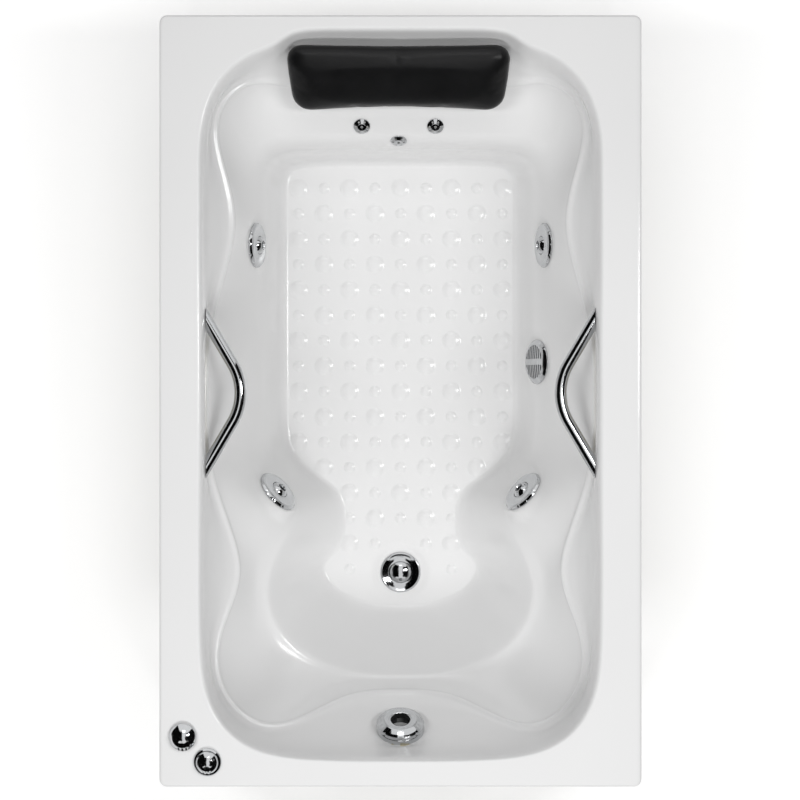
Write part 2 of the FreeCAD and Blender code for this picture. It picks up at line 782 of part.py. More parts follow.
collar_bore = jet_ball_radius + fit_gap
ball_step = -(jet_ball_sink + 17.3)
throat_radius = 14
barrel_grip = 9
barrel_end = -(seat_thickness + gasket_thickness + barrel_grip)
collar = turned("jet_collar", [
    (collar_bore, jet_collar_thickness), (jet_collar_radius, jet_collar_thickness), (jet_collar_radius, 0),
    (jet_barrel_radius, 0), (jet_barrel_radius, barrel_end), (throat_radius, barrel_end),
    (throat_radius, ball_step), (collar_bore, ball_step)])
back_face = -(seat_thickness + gasket_thickness)
back_end = back_face - jet_back_length
chamber_bore = jet_barrel_radius - 5
back = turned("jet_back", [
    (0, back_face), (jet_back_radius + 6, back_face), (jet_back_radius + 6, back_face - 6),
    (jet_back_radius, back_face - 6), (jet_back_radius, back_end + 6), (jet_back_radius - 6, back_end),
    (0, back_end)])
chamber = turned("jet_chamber", [
    (0, back_face + 5), (jet_barrel_radius + running_gap, back_face + 5),
    (jet_barrel_radius + running_gap, barrel_end - 1), (chamber_bore, barrel_end - 1),
    (chamber_bore, back_end + 5), (0, back_end + 5)])
gasket = turned("jet_gasket", [
    (jet_barrel_radius + fit_gap, -seat_thickness), (jet_back_radius + 6, -seat_thickness),
    (jet_back_radius + 6, back_face), (jet_barrel_radius + fit_gap, back_face)])
doc.recompute()

UP = Vector(0, 0, 1)
port_height = back_face - 24.5
port_length = 20
port_reach = jet_back_radius + port_length
group("jet_collars", collar, large_jets)
group("wall_gaskets", gasket, large_jets + [suction])


def ported_back(frame, ports):
    """A back chamber with spigots square to its own axis, each a direction, a radius and a reach."""
    middle = Vector(0, 0, port_height)
    body = back.Shape.rotated(Vector(), UP, 37)
    for direction, radius, reach in ports:
        body = body.fuse(rod(radius, reach, middle, direction))
    body = body.cut(chamber.Shape.rotated(Vector(), UP, 37))
    for direction, radius, reach in ports:
        body = body.cut(rod(radius - spigot_wall, reach + 1, middle, direction))
    body.Placement = frame
    return body


def side_pointing(frame, wanted):
    """The direction square to a frame's axis that points most towards a wanted one, in the frame."""
    local = frame.Rotation.inverted().multVec(wanted)
    local.z = 0
    return local.normalize()


spigot_wall = 3
air_reach = jet_back_radius + 12
backs = []
for frame in side_jets:
    air = side_pointing(frame, UP)
    ports = [(Vector(0, 1, 0), pipe_radius, port_reach), (Vector(0, -1, 0), pipe_radius, port_reach)]
    backs.append(ported_back(frame, ports + [(air, air_tube_radius, air_reach)]))
foot_ports = []
for side, frame in zip((-1, 1), foot_jets):
    port = side_pointing(frame, Vector(side * 0.9, 0.45, 0))
    foot_ports.append(port)
    backs.append(ported_back(frame, [(port, pipe_radius, port_reach),
                                     (side_pointing(frame, UP), air_tube_radius, air_reach)]))
shaped("jet_backs", Part.makeCompound(backs))

ring_top = jet_ring_height
ring_mouth = 19.8
ring = turned("jet_ring", [
    (jet_ball_radius + 0.2, jet_collar_thickness + fit_gap), (ring_mouth, ring_top - 0.5),
    (ring_mouth + 2, ring_top), (jet_ring_radius - 9, ring_top - 1), (jet_ring_radius, 2.5),
    (jet_ring_radius, fit_gap), (jet_collar_radius + 0.4, fit_gap),
    (jet_collar_radius + 0.4, jet_collar_thickness + fit_gap)])
doc.recompute()
ball_front = 19
ball = doc.addObject("Part::Sphere", "ball")
ball.setExpression("Radius", jet_ball_radius.formula)
bore = doc.addObject("Part::Cylinder", "ball_bore")
bore.setExpression("Radius", jet_nozzle_radius.formula)
bore.Height = 80
bore.Placement = Placement(Vector(0, 0, -40), Rotation())
front = doc.addObject("Part::Box", "ball_front")
front.Length = front.Width = 60
front.Height = 20
front.Placement = Placement(Vector(-30, -30, ball_front), Rotation())
bored_ball = doc.addObject("Part::Cut", "bored_ball")
bored_ball.Base = ball
bored_ball.Tool = bore
nozzle = doc.addObject("Part::Cut", "nozzle")
nozzle.Base = bored_ball
nozzle.Tool = front
doc.recompute()
grips = [rod(3, 12, Vector(jet_ring_radius + 1.2, 0, 0), UP).rotated(Vector(), UP, 30 * k) for k in range(12)]
gripped_ring = ring.Shape.cut(grips)
jet_names = ("side_left", "side_right", "foot_left", "foot_right")
for name, frame in zip(jet_names, large_jets):
    shaped(f"jet_ring_{name}", gripped_ring, frame)
    shaped(f"jet_nozzle_{name}", nozzle.Shape, frame.multiply(Placement(Vector(0, 0, -jet_ball_sink), Rotation())))

# ---------------------------------------------------------------------------
# Small back jets
# ---------------------------------------------------------------------------

small_flange = 2
small_collar_radius = back_jet_radius - 3.5
small_end = -(seat_thickness + 24)
small_body = turned("back_jet_body", [
    (3, small_flange), (small_collar_radius, small_flange), (small_collar_radius, 0),
    (back_jet_barrel_radius, 0), (back_jet_barrel_radius, small_end), (5, small_end), (5, small_end - 14),
    (3, small_end - 14)])
small_nut = turned("back_jet_nut", [
    (back_jet_barrel_radius + running_gap, -seat_thickness), (back_jet_radius, -seat_thickness),
    (back_jet_radius, -seat_thickness - 8), (back_jet_barrel_radius + running_gap, -seat_thickness - 8)])
rosette = turned("back_jet_rosette", [
    (3, small_flange + fit_gap), (3, 6.5), (8, 7), (back_jet_radius, 3), (back_jet_radius, fit_gap),
    (small_collar_radius + fit_gap, fit_gap), (small_collar_radius + fit_gap, small_flange + fit_gap)])
doc.recompute()
group("back_jet_bodies", small_body, back_jets)
group("back_jet_nuts", small_nut, back_jets)
notches = [rod(2.2, 10, Vector(12, 0, 0), UP).rotated(Vector(), UP, 60 * k) for k in range(6)]
notched_rosette = rosette.Shape.cut(notches)
for name, frame in zip(("left", "middle", "right"), back_jets):
    shaped(f"back_jet_face_{name}", notched_rosette, frame)

# ---------------------------------------------------------------------------
# Suction
# ---------------------------------------------------------------------------

suction_collar = turned("suction_collar_blank", [
    (jet_barrel_radius - 5, jet_collar_thickness), (jet_collar_radius, jet_collar_thickness),
    (jet_collar_radius, 0), (jet_barrel_radius, 0), (jet_barrel_radius, barrel_end),
    (jet_barrel_radius - 5, barrel_end)])
cover = turned("suction_cover_blank", [
    (0, 8), (0, 12), (30, 10), (jet_ring_radius, 3), (jet_ring_radius, fit_gap),
    (jet_collar_radius + 0.4, fit_gap), (jet_collar_radius + 0.4, jet_collar_thickness + fit_gap), (34, 5)])
doc.recompute()
slats = []
for row in range(-4, 5):
    reach = math.sqrt(max((jet_ring_radius - 9) ** 2 - (row * 8) ** 2, 0))
    for half in (-1, 1):
        start = 8 if half == 1 else -reach
        slats.append(Part.makeBox(reach - 8, 4, 30, Vector(start, row * 8 - 2, -5)))
shaped("suction_cover", cover.Shape.cut(slats), suction)
keep(suction_collar, "suction_collar", suction)
suction_port_height = port_height
shaped("suction_back", ported_back(Placement(), [(Vector(0, 1, 0), suction_pipe_radius, port_reach)]), suction)

# ---------------------------------------------------------------------------
# Waste: drain dish, pop-up plug, waste body
# ---------------------------------------------------------------------------

dish_height = 2
drain_bore = drain_barrel_radius - 3
local_underside = floor_underside - drain.Base.z
waste_flange = drain_barrel_radius + 14
seal_thickness = 3
barrel_foot = local_underside - seal_thickness - 24
dish = turned("drain_dish", [
    (drain_bore, -3), (drain_bore + 2, 0.8), (drain_radius - 8, dish_height - 0.5),
    (drain_radius - 3, dish_height + 0.6),
    (drain_radius, dish_height - 1), (drain_radius, 0), (drain_barrel_radius, 0),
    (drain_barrel_radius, barrel_foot), (drain_bore, barrel_foot)])
drain_seal = turned("drain_seal", [
    (drain_barrel_radius + fit_gap, local_underside), (waste_flange, local_underside),
    (waste_flange, local_underside - seal_thickness),
    (drain_barrel_radius + fit_gap, local_underside - seal_thickness)])
waste_floor = waste_axis_height - outlet_radius - 4 - drain.Base.z
waste_tube = drain_barrel_radius + 4
waste_top = local_underside - seal_thickness
waste = turned("waste_tube", [
    (drain_barrel_radius + running_gap, waste_top), (waste_flange, waste_top), (waste_flange, waste_top - 5),
    (waste_tube, waste_top - 5), (waste_tube, waste_floor), (0, waste_floor), (0, waste_floor + 4),
    (drain_barrel_radius + running_gap, waste_floor + 4)])
stem_end = -46
plug_base = 1.2
plug = turned("plug", [
    (0, 9.5), (8, 8.9), (16, 6.9), (plug_radius - 1, 3.4), (plug_radius - 0.5, plug_base),
    (plug_stem_radius, plug_base), (plug_stem_radius, stem_end), (0, stem_end)])
plug_seal = turned("plug_seal_ring", [
    (plug_stem_radius + fit_gap, plug_base), (drain_bore - 0.5, plug_base), (drain_bore - 1, plug_base - 1.9),
    (plug_stem_radius + fit_gap, plug_base - 1.9)])
doc.recompute()
spokes = [Part.makeBox(drain_bore - 3, 2.4, 10, Vector(5, -1.2, -28)).rotated(Vector(), UP, 120 * k)
          for k in range(3)]
guide = rod(7, 10, Vector(0, 0, -28), UP)
flange = dish.Shape.fuse(spokes + [guide]).cut(rod(plug_stem_radius + running_gap, 14, Vector(0, 0, -30), UP))
shaped("drain_flange", flange.removeSplitter(), drain)
keep(drain_seal, "drain_seal", drain)
keep(plug, "drain_plug", drain)
keep(plug_seal, "plug_seal", drain)

axis_below = waste_axis_height - drain.Base.z
inlet_length = 34
tube_inside = drain_barrel_radius + 1.5
outlet = rod(outlet_radius, waste_tube + outlet_length - tube_inside, Vector(tube_inside, 0, axis_below),
             Vector(1, 0, 0))
outlet_shoulder = rod(outlet_radius + 3, waste_tube + 4 - tube_inside, Vector(tube_inside, 0, axis_below),
                      Vector(1, 0, 0))
outlet_bore = rod(outlet_radius - 3, waste_tube + outlet_length, Vector(20, 0, axis_below), Vector(1, 0, 0))
inlet = rod(overflow_pipe_radius + 3, waste_tube + inlet_length - tube_inside, Vector(0, -tube_inside, axis_below),
            Vector(0, -1, 0))
inlet_bore = rod(overflow_pipe_radius + 0.2, 14, Vector(0, -(waste_tube + inlet_length), axis_below),
                 Vector(0, 1, 0))
ferrule_way = Vector(0.5, -0.866, 0).normalize()
ferrule_height = axis_below + 22
ferrule = rod(6, 14, ferrule_way * (waste_tube - 2) + Vector(0, 0, ferrule_height), ferrule_way)
ferrule_bore = rod(cable_radius + 0.2, 10, ferrule_way * (waste_tube + 2) + Vector(0, 0, ferrule_height),
                   ferrule_way)
body = waste.Shape.fuse([outlet, outlet_shoulder, inlet, ferrule]).cut([outlet_bore, inlet_bore, ferrule_bore])
shaped("waste_body", body.removeSplitter(), drain)

# ---------------------------------------------------------------------------
# Overflow and its rotary knob
# ---------------------------------------------------------------------------

overflow_barrel = overflow_mouth_radius + 8
overflow_bore = overflow_barrel - 4
escutcheon_height = 12
knob_top = 30
overflow_back_end = -(seat_thickness + 40)
escutcheon = turned("overflow_escutcheon", [
    (overflow_barrel + running_gap, 0), (overflow_radius, 0), (overflow_radius, escutcheon_height - 1),
    (overflow_radius - 1, escutcheon_height), (overflow_barrel + running_gap, escutcheon_height)])
knob = turned("overflow_knob_blank", [
    (overflow_mouth_radius, knob_top - 4), (overflow_mouth_radius + 8, knob_top), (overflow_radius - 8, knob_top),
    (overflow_radius, knob_top - 9), (overflow_radius, escutcheon_height + fit_gap),
    (overflow_bore, escutcheon_height + fit_gap), (overflow_bore, escutcheon_height + 8),
    (overflow_mouth_radius, escutcheon_height + 8)])
overflow_gasket = turned("overflow_gasket", [
    (overflow_barrel + fit_gap, -seat_thickness), (overflow_radius - 3, -seat_thickness),
    (overflow_radius - 3, -seat_thickness - 3), (overflow_barrel + fit_gap, -seat_thickness - 3)])
overflow_chamber = turned("overflow_chamber", [
    (overflow_bore, escutcheon_height - 1), (overflow_barrel, escutcheon_height - 1),
    (overflow_barrel, -seat_thickness - 3), (overflow_radius - 3, -seat_thickness - 3),
    (overflow_radius - 3, -seat_thickness - 9), (overflow_barrel + 4, -seat_thickness - 9),
    (overflow_barrel + 4, overflow_back_end), (0, overflow_back_end), (0, overflow_back_end + 4),
    (overflow_bore, overflow_back_end + 4)])
doc.recompute()
scallops = [rod(7, 40, Vector(overflow_radius + 4.5, 0, 0), UP).rotated(Vector(), UP, 45 * k) for k in range(8)]
shaped("overflow_knob", knob.Shape.cut(scallops), overflow)
keep(escutcheon, "overflow_escutcheon", overflow)
keep(overflow_gasket, "overflow_gasket", overflow)
down_pipe = side_pointing(overflow, Vector(0, 0, -1))
down_height = -(seat_thickness + 25)
chamber_radius = overflow_barrel + 4
down_reach = chamber_radius + 16
down_spigot = rod(overflow_pipe_radius + 3, 26, down_pipe * (down_reach - 26) + Vector(0, 0, down_height), down_pipe)
down_bore = rod(overflow_pipe_radius + 0.2, 14, down_pipe * (down_reach - 14) + Vector(0, 0, down_height), down_pipe)
down_way = rod(overflow_pipe_radius - 2, 40, down_pipe * (down_reach - 50) + Vector(0, 0, down_height), down_pipe)
cable_way = Vector(1, 0, 0)
cable_boss = rod(6, 18, cable_way * (chamber_radius - 2) + Vector(0, 0, down_height), cable_way)
cable_boss_bore = rod(cable_radius + 0.2, 12, cable_way * (chamber_radius + 4) + Vector(0, 0, down_height),
                      cable_way)
overflow_made = overflow_chamber.Shape.fuse(down_spigot).fuse(cable_boss)
overflow_made = overflow_made.cut(down_bore).cut(down_way).cut(cable_boss_bore)
shaped("overflow_body", overflow_made, overflow)

pipe_top = overflow.multVec(down_pipe * (down_reach - 13) + Vector(0, 0, down_height))
pipe_out = overflow.multVec(down_pipe * (down_reach + 30) + Vector(0, 0, down_height))
waste_inlet = Vector(0, drain.Base.y - waste_tube - inlet_length + 13, waste_axis_height)
overflow_route = [pipe_top, pipe_out, Vector(0, pipe_out.y, waste_axis_height), waste_inlet]
shaped("overflow_pipe", tube(overflow_route, overflow_pipe_radius, 70))

cable_start = overflow.multVec(cable_way * (chamber_radius + 5) + Vector(0, 0, down_height))
cable_out = overflow.multVec(cable_way * (chamber_radius + 60) + Vector(0, 0, down_height))
cable_low = Vector(cable_out.x, cable_out.y + 60, ferrule_height + drain.Base.z)
cable_turn = drain.multVec(ferrule_way * (waste_tube + 90) + Vector(0, 0, ferrule_height))
cable_end = drain.multVec(ferrule_way * (waste_tube + 3) + Vector(0, 0, ferrule_height))
shaped("waste_cable", tube([cable_start, cable_out, cable_low, cable_turn, cable_end], cable_radius, 50))

# ---------------------------------------------------------------------------
# Grab bars: bent tube, cut flat at the wall, with a stud at each end
# ---------------------------------------------------------------------------

bar_apex = bar_wall - bar_stand_off
bar_middle_y = (bar_head_end + bar_foot_end) / 2
for side, label in ((-1, "left"), (1, "right")):
    ends = [Vector(side * bar_wall, y, bar_height) for y in (bar_head_end, bar_foot_end)]
    apex = Vector(side * bar_apex, bar_middle_y, bar_height)
    beyond = [end + (end - apex).normalize() * 40 for end in ends]
    bar = tube([beyond[0], apex, beyond[1]], bar_radius, bar_bend_radius)
    face = side * (bar_wall - 1.2)
    behind = Part.makeBox(100, 600, 100, Vector(face if side > 0 else face - 100, -300, bar_height - 50))
    bar = bar.cut(behind)
    studs = [rod(bar_stud_radius, 34, Vector(face - side * 4, frame.Base.y, bar_height), Vector(side, 0, 0))
             for frame in bar_studs if frame.Base.x * side > 0]
    shaped(f"grab_bar_{label}", bar.fuse(studs).removeSplitter())

bar_nut_gap = 14.2
washer_thickness = 5
bar_nuts = []
for frame in bar_studs:
    side = math.copysign(1, frame.Base.x)
    start = Vector(side * (bar_wall + bar_nut_gap), frame.Base.y, bar_height)
    nut = hexagon(9, 7, start, Vector(side, 0, 0))
    washer = rod(13, washer_thickness, start - Vector(side * washer_thickness, 0, 0), Vector(side, 0, 0))
    bar_nuts.append(nut.fuse(washer).cut(rod(bar_stud_radius + running_gap, 60, start - Vector(side * 30, 0, 0),
                                             Vector(side, 0, 0))))
shaped("grab_bar_nuts", Part.makeCompound(bar_nuts))

# ---------------------------------------------------------------------------
# Deck controls: air regulator and on/off air button
# ---------------------------------------------------------------------------

collar_height = 5
nut_height = 8
barrel_depth = -(shell_wall + 34)
control_nut = turned("control_nut", [
    (control_barrel_radius + running_gap, -shell_wall), (control_barrel_radius + 6, -shell_wall),
    (control_barrel_radius + 6, -shell_wall - nut_height),
    (control_barrel_radius + running_gap, -shell_wall - nut_height)])
air_body = turned("air_body", [
    (6 + running_gap, 2), (control_radius - 6, 2), (control_radius - 5, 0), (control_barrel_radius, 0),
    (control_barrel_radius, barrel_depth), (air_tube_radius, barrel_depth), (air_tube_radius, barrel_depth - 12),
    (0, barrel_depth - 12), (0, barrel_depth + 6), (6 + running_gap, barrel_depth + 6)])
air_knob = turned("air_knob", [
    (0, 22), (12, 20.6), (20, 16.4), (26, 9.8), (control_radius, 6), (control_radius, 2 + fit_gap),
    (6, 2 + fit_gap), (6, barrel_depth + 8), (0, barrel_depth + 8)])
cap_radius = control_radius - 5 - fit_gap
doc.recompute()
button_sleeve = turned("button_sleeve", [
    (control_radius, 0), (control_radius, collar_height), (control_radius - 3, collar_height + 3),
    (cap_radius + fit_gap, collar_height + 3), (cap_radius + fit_gap, 2), (7 + running_gap, 2),
    (7 + running_gap, barrel_depth + 6), (0, barrel_depth + 6), (0, barrel_depth - 10),
    (button_tube_radius, barrel_depth - 10), (button_tube_radius, barrel_depth),
    (control_barrel_radius, barrel_depth), (control_barrel_radius, 0)])
button_cap = turned("button_cap_body", [
    (0, 23), (10, 21.8), (18, 17.4), (cap_radius, 10), (cap_radius, 2.4 + button_travel),
    (7, 2.4 + button_travel), (7, barrel_depth + 18), (0, barrel_depth + 18)])
doc.recompute()
slots = [Part.makeBox(3, 10, 6, Vector(x - 1.5, -control_radius - 4, 4)) for x in (-8, 0, 8)]
group("deck_control_nuts", control_nut, [air_control, button])
keep(air_body, "air_control_body", air_control)
shaped("air_control_knob", air_knob.Shape.cut(slots), air_control)
keep(button_sleeve, "button_body", button)
keep(button_cap, "button_cap", button)

# ---------------------------------------------------------------------------
# Pillow: crowned cushion with drawn-in sides, laid on the head slope
# ---------------------------------------------------------------------------

slope_top = wall_frame(pillow_centre_x, 756, 2, 4)
slope_foot = wall_frame(pillow_centre_x, 640, 2, 8)
slope_run = (slope_top.Base - slope_foot.Base).normalize()
slope_out = Vector(1, 0, 0).cross(slope_run)
if slope_out.z < 0:
    slope_out = -slope_out
pillow_lift = 5.8
pillow_overrun = 8
back_hollow = 8
pillow_foot = slope_top.Base - slope_run * (pillow_length - pillow_overrun) + slope_out * pillow_lift


def pillow_section(x, length, thickness):
    """One cross-section: flat back on the slope, round top and foot, crowned front."""
    rest = (pillow_length - length) / 2
    shift = (pillow_thickness - thickness) * 0.25
    corner = thickness * 0.42

    def spot(up, out):
        return Vector(pillow_centre_x + x, 0, 0) + Vector(0, pillow_foot.y, pillow_foot.z) \
            + slope_run * (rest + up) + slope_out * (shift + out)

    foot_low = spot(corner * 0.6, 0)
    foot_mid = spot(0, thickness * 0.42)
    foot_high = spot(corner * 0.7, thickness * 0.82)
    crown = spot(length * 0.5, thickness)
    top_high = spot(length - corner * 0.7, thickness * 0.86)
    top_mid = spot(length, thickness * 0.45)
    top_low = spot(length - corner * 0.6, 0)
    edges = [
        Part.Arc(foot_low, foot_mid, foot_high).toShape(),
        Part.Arc(foot_high, crown, top_high).toShape(),
        Part.Arc(top_high, top_mid, top_low).toShape(),
        Part.Arc(top_low, spot(length * 0.5, back_hollow), foot_low).toShape(),
    ]
    return Part.Wire(edges)


half = pillow_width / 2
pillow_sections = []
for share, length_share, thickness_share in ((1, 0.5, 0.3), (0.965, 0.78, 0.72), (0.88, 0.93, 0.92),
                                             (0.55, 1, 1), (0, 0.97, 0.97)):
    for side in ((-1, 1) if share else (1,)):
        pillow_sections.append((side * share * half, length_share * pillow_length,
                                thickness_share * pillow_thickness))
pillow_sections.sort()
pillow_form = Part.makeLoft([pillow_section(*each) for each in pillow_sections], True, False)
shaped("pillow", pillow_form)

# ---------------------------------------------------------------------------
# Pump: motor, fan cowl, shaft with fan, wet end with impeller, base
# ---------------------------------------------------------------------------

pump_axis_height = board_underside + pump_axis_rise
pump = Placement(Vector(0, pump_y, pump_axis_height), Rotation(Vector(0, 0, 1), Vector(1, 0, 0)))
motor_end = -motor_length / 2
motor_front = motor_length / 2
wet_back = motor_front + 14
wet_front = wet_back + wet_end_length
shaft_hole = shaft_radius + running_gap
motor_blank = turned("motor_blank", [
    (shaft_hole, motor_end), (motor_radius - 6, motor_end), (motor_radius - 6, motor_end + 10),
    (motor_radius - 8, motor_end + 10), (motor_radius - 8, motor_front - 10), (motor_radius - 3, motor_front - 10),
    (motor_radius - 3, motor_front), (motor_radius - 22, motor_front), (motor_radius - 22, wet_back),
    (shaft_hole, wet_back)])
cowl_wall = 2
cowl_length = 46
cowl = turned("cowl_blank", [
    (motor_radius - 2, motor_end + 8), (motor_radius, motor_end + 8), (motor_radius, motor_end - cowl_length + 8),
    (motor_radius - 6, motor_end - cowl_length), (0, motor_end - cowl_length),
    (0, motor_end - cowl_length + cowl_wall), (motor_radius - 8, motor_end - cowl_length + cowl_wall),
    (motor_radius - 2, motor_end - cowl_length + 10)])
inlet_radius = suction_pipe_radius + 4
wet_end = turned("wet_end_blank", [
    (shaft_hole, wet_back), (wet_end_radius, wet_back), (wet_end_radius, wet_front - 12),
    (wet_end_radius - 12, wet_front), (inlet_radius, wet_front), (inlet_radius, wet_front + 26),
    (suction_pipe_radius - 3, wet_front + 26), (suction_pipe_radius - 3, wet_front - 6),
    (wet_end_radius - 18, wet_front - 6), (wet_end_radius - 8, wet_front - 14), (wet_end_radius - 8, wet_back + 6),
    (shaft_hole, wet_back + 6)])
shaft = turned("shaft", [
    (0, motor_end - 34), (shaft_radius, motor_end - 34), (shaft_radius, wet_back + 26), (0, wet_back + 26)])
impeller_hub = turned("impeller_hub", [
    (shaft_radius, wet_back + 10), (46, wet_back + 10), (46, wet_back + 13), (14, wet_back + 15),
    (14, wet_back + 30), (0, wet_back + 30), (0, wet_back + 26), (shaft_radius, wet_back + 26)])
doc.recompute()
ribs = [Part.makeBox(6, 2.5, motor_length - 24, Vector(motor_radius - 9.5, -1.25, motor_end + 12))
        .rotated(Vector(), UP, 15 + 20 * k) for k in range(18) if 80 < abs(15 + 20 * k - 195) or k < 6]
vertical_in_pump = pump.Rotation.inverted().multVec(UP)
box_half = 40
box_top = 68
terminal_box = Part.makeBox(box_top - 30, 60, 2 * box_half, Vector(-box_top, -30, -box_half))
if vertical_in_pump.x > 0:
    terminal_box = Part.makeBox(box_top - 30, 60, 2 * box_half, Vector(30, -30, -box_half))
terminal_box = terminal_box.cut(rod(motor_radius - 20, 2 * box_half + 2, Vector(0, 0, -box_half - 1), UP))
motor_solid = motor_blank.Shape.fuse(ribs).fuse(terminal_box)
shaped("pump_motor", motor_solid, pump)
grille = []
for ring_number in range(1, 3):
    for k in range(6 * ring_number):
        grille.append(rod(6, 12, Vector(18 * ring_number, 0, motor_end - cowl_length - 4), UP)
                      .rotated(Vector(), UP, 60 * k / ring_number))
shaped("pump_fan_cowl", cowl.Shape.cut(grille), pump)
discharge_reach = wet_end_radius + 8
discharge = rod(pipe_radius + 4, discharge_reach - 40, vertical_in_pump * 40
                + Vector(0, 0, wet_back + 28), vertical_in_pump)
discharge_bore = rod(pipe_radius - 3, wet_end_radius, vertical_in_pump * 40 + Vector(0, 0, wet_back + 28),
                     vertical_in_pump)
wet = wet_end.Shape.fuse(discharge.cut(rod(wet_end_radius - 7, wet_end_length, Vector(0, 0, wet_back), UP)))
shaped("pump_wet_end", wet.cut(discharge_bore).removeSplitter(), pump)
keep(shaft, "pump_shaft", pump)
blades = [Part.makeBox(30, 3, 12, Vector(15, -1.5, wet_back + 13)).rotated(Vector(15, 0, 0), UP, 25)
          .rotated(Vector(), UP, 60 * k) for k in range(6)]
shaped("pump_impeller", impeller_hub.Shape.fuse(blades).removeSplitter(), pump)
fan_hub = rod(14, 16, Vector(0, 0, motor_end - 30), UP)
fan_blades = [Part.makeBox(34, 2, 16, Vector(12, -1, motor_end - 30)).rotated(Vector(), UP, 60 * k)
              for k in range(6)]
fan = fan_hub.fuse(fan_blades).cut(rod(shaft_radius, 40, Vector(0, 0, motor_end - 40), UP))
shaped("pump_fan", fan.removeSplitter(), pump)

rubber_height = 10
base_plate_thickness = 12
base_bottom = board_underside
plate_half_y = 84
saddle = Part.makeBox(float(motor_length - 70), 90, float(pump_axis_height - base_bottom - rubber_height),
                      Vector(-(motor_length - 70) / 2, pump_y - 45, base_bottom + rubber_height))
skid = Part.makeBox(float(motor_length), 2 * plate_half_y - 20, base_plate_thickness,
                    Vector(-motor_length / 2, pump_y - plate_half_y + 10, base_bottom + rubber_height))
cradle = rod(motor_radius + fit_gap, motor_length + 40, Vector(-motor_length / 2 - 20, pump_y, pump_axis_height),
             Vector(1, 0, 0))
hollow = Part.makeBox(float(motor_length - 90), 70, float(pump_axis_height - base_bottom - rubber_height - 12),
                      Vector(-(motor_length - 90) / 2, pump_y - 35, base_bottom + rubber_height))
shaped("pump_base", saddle.fuse(skid).cut([cradle, hollow]).removeSplitter())
mounts = [rod(13, rubber_height, Vector(x * (motor_length / 2 - 18), pump_y + y * 60, base_bottom), UP)
          for x in (-1, 1) for y in (-1, 1)]
shaped("pump_rubber_mounts", Part.makeCompound(mounts))

# ---------------------------------------------------------------------------
# Pipes and tubes
# ---------------------------------------------------------------------------

left_port_up = along(side_jets[0], 0, port_reach, port_height)
right_port_up = along(side_jets[1], 0, port_reach, port_height)
left_port_down = along(side_jets[0], 0, -port_reach, port_height)
right_port_down = along(side_jets[1], 0, -port_reach, port_height)
main_height = left_port_up.z
discharge_x = wet_back + 28
main_y = pump_y
corner_left = Vector(left_port_up.x, main_y, main_height)
corner_right = Vector(right_port_up.x, main_y, main_height)
butt_gap = 0.4
clear = Vector(0, butt_gap, 0)
main = tube([left_port_up + clear, corner_left, corner_right, right_port_up + clear], pipe_radius, 90)
discharge_top = pump_axis_height + discharge_reach + fit_gap
riser = rod(pipe_radius, main_height - discharge_top, Vector(discharge_x, main_y, discharge_top), UP)
runs = [main.fuse(riser).removeSplitter()]
for side, down, frame, port in ((-1, left_port_down, foot_jets[0], foot_ports[0]),
                                (1, right_port_down, foot_jets[1], foot_ports[1])):
    end = frame.multVec(port * (port_reach + butt_gap) + Vector(0, 0, port_height))
    before = frame.multVec(port * (port_reach + 70) + Vector(0, 0, port_height))
    runs.append(tube([down - clear, down - Vector(0, 150, 0), before, end], pipe_radius, 90))
shaped("pressure_pipes", Part.makeCompound(runs))

suction_port = along(suction, 0, port_reach, suction_port_height)
pump_inlet = Vector(wet_front + 26, pump_y, pump_axis_height)
suction_route = [suction_port + Vector(0, butt_gap, 0), suction_port + Vector(0, 50, 0),
                 Vector(suction_port.x, suction_port.y + 130, pump_axis_height),
                 Vector(suction_port.x, pump_y, pump_axis_height), pump_inlet]
shaped("suction_pipe", tube(suction_route, suction_pipe_radius, 90))

air_port_reach = air_reach + butt_gap
trunk_x = air_control.Base.x
trunk_z = rim_height - 108
trunk_foot_y = 36 - tub_length / 2
trunk_turn_y = trunk_foot_y + 164
control_spigot = rim_height + barrel_depth - 12 - butt_gap


def air_port(frame, beyond=0):
    way = side_pointing(frame, UP)
    return frame.multVec(way * (air_port_reach + beyond) + Vector(0, 0, port_height))


trunk_start = Vector(trunk_x, air_control.Base.y, control_spigot)
left_run = tube([trunk_start, Vector(trunk_x, air_control.Base.y, trunk_z), Vector(trunk_x, side_jets[0].Base.y - 60, trunk_z),
                 air_port(side_jets[0], 60), air_port(side_jets[0])], air_tube_radius, 40)
right_run = tube([Vector(trunk_x, air_control.Base.y, trunk_z + 12), Vector(trunk_x, trunk_foot_y, trunk_z + 12),
                  Vector(-trunk_x, trunk_foot_y, trunk_z + 12), Vector(-trunk_x, trunk_turn_y, trunk_z),
                  Vector(-trunk_x, side_jets[1].Base.y - 60, trunk_z), air_port(side_jets[1], 60), air_port(side_jets[1])],
                 air_tube_radius, 30)
air_runs = left_run.fuse(right_run)
for side, frame in zip((1, -1), foot_jets):
    branch_y = frame.Base.y - 20
    branch = [Vector(side * trunk_x, branch_y, trunk_z), Vector(side * (trunk_x + 3), branch_y, trunk_z - 90),
              air_port(frame, 40), air_port(frame)]
    air_runs = air_runs.fuse(tube(branch, air_tube_radius, 30))
shaped("air_tubes", air_runs.removeSplitter())

button_tube_start = Vector(button.Base.x, button.Base.y, rim_height + barrel_depth - 10 - butt_gap)
tube_x = 48 - tub_width / 2
tube_z = board_underside + 89
entry_z = pump_axis_height + box_top - 7
button_route = [button_tube_start, Vector(button.Base.x, button.Base.y, tube_z + 50), Vector(tube_x, button.Base.y + 108, tube_z),
                Vector(tube_x, pump_y - 110, tube_z), Vector(-box_half - 210, pump_y, entry_z),
                Vector(-box_half - butt_gap, pump_y, entry_z)]
shaped("button_tube", tube(button_route, button_tube_radius, 50))

# ---------------------------------------------------------------------------
# Check and write
# ---------------------------------------------------------------------------

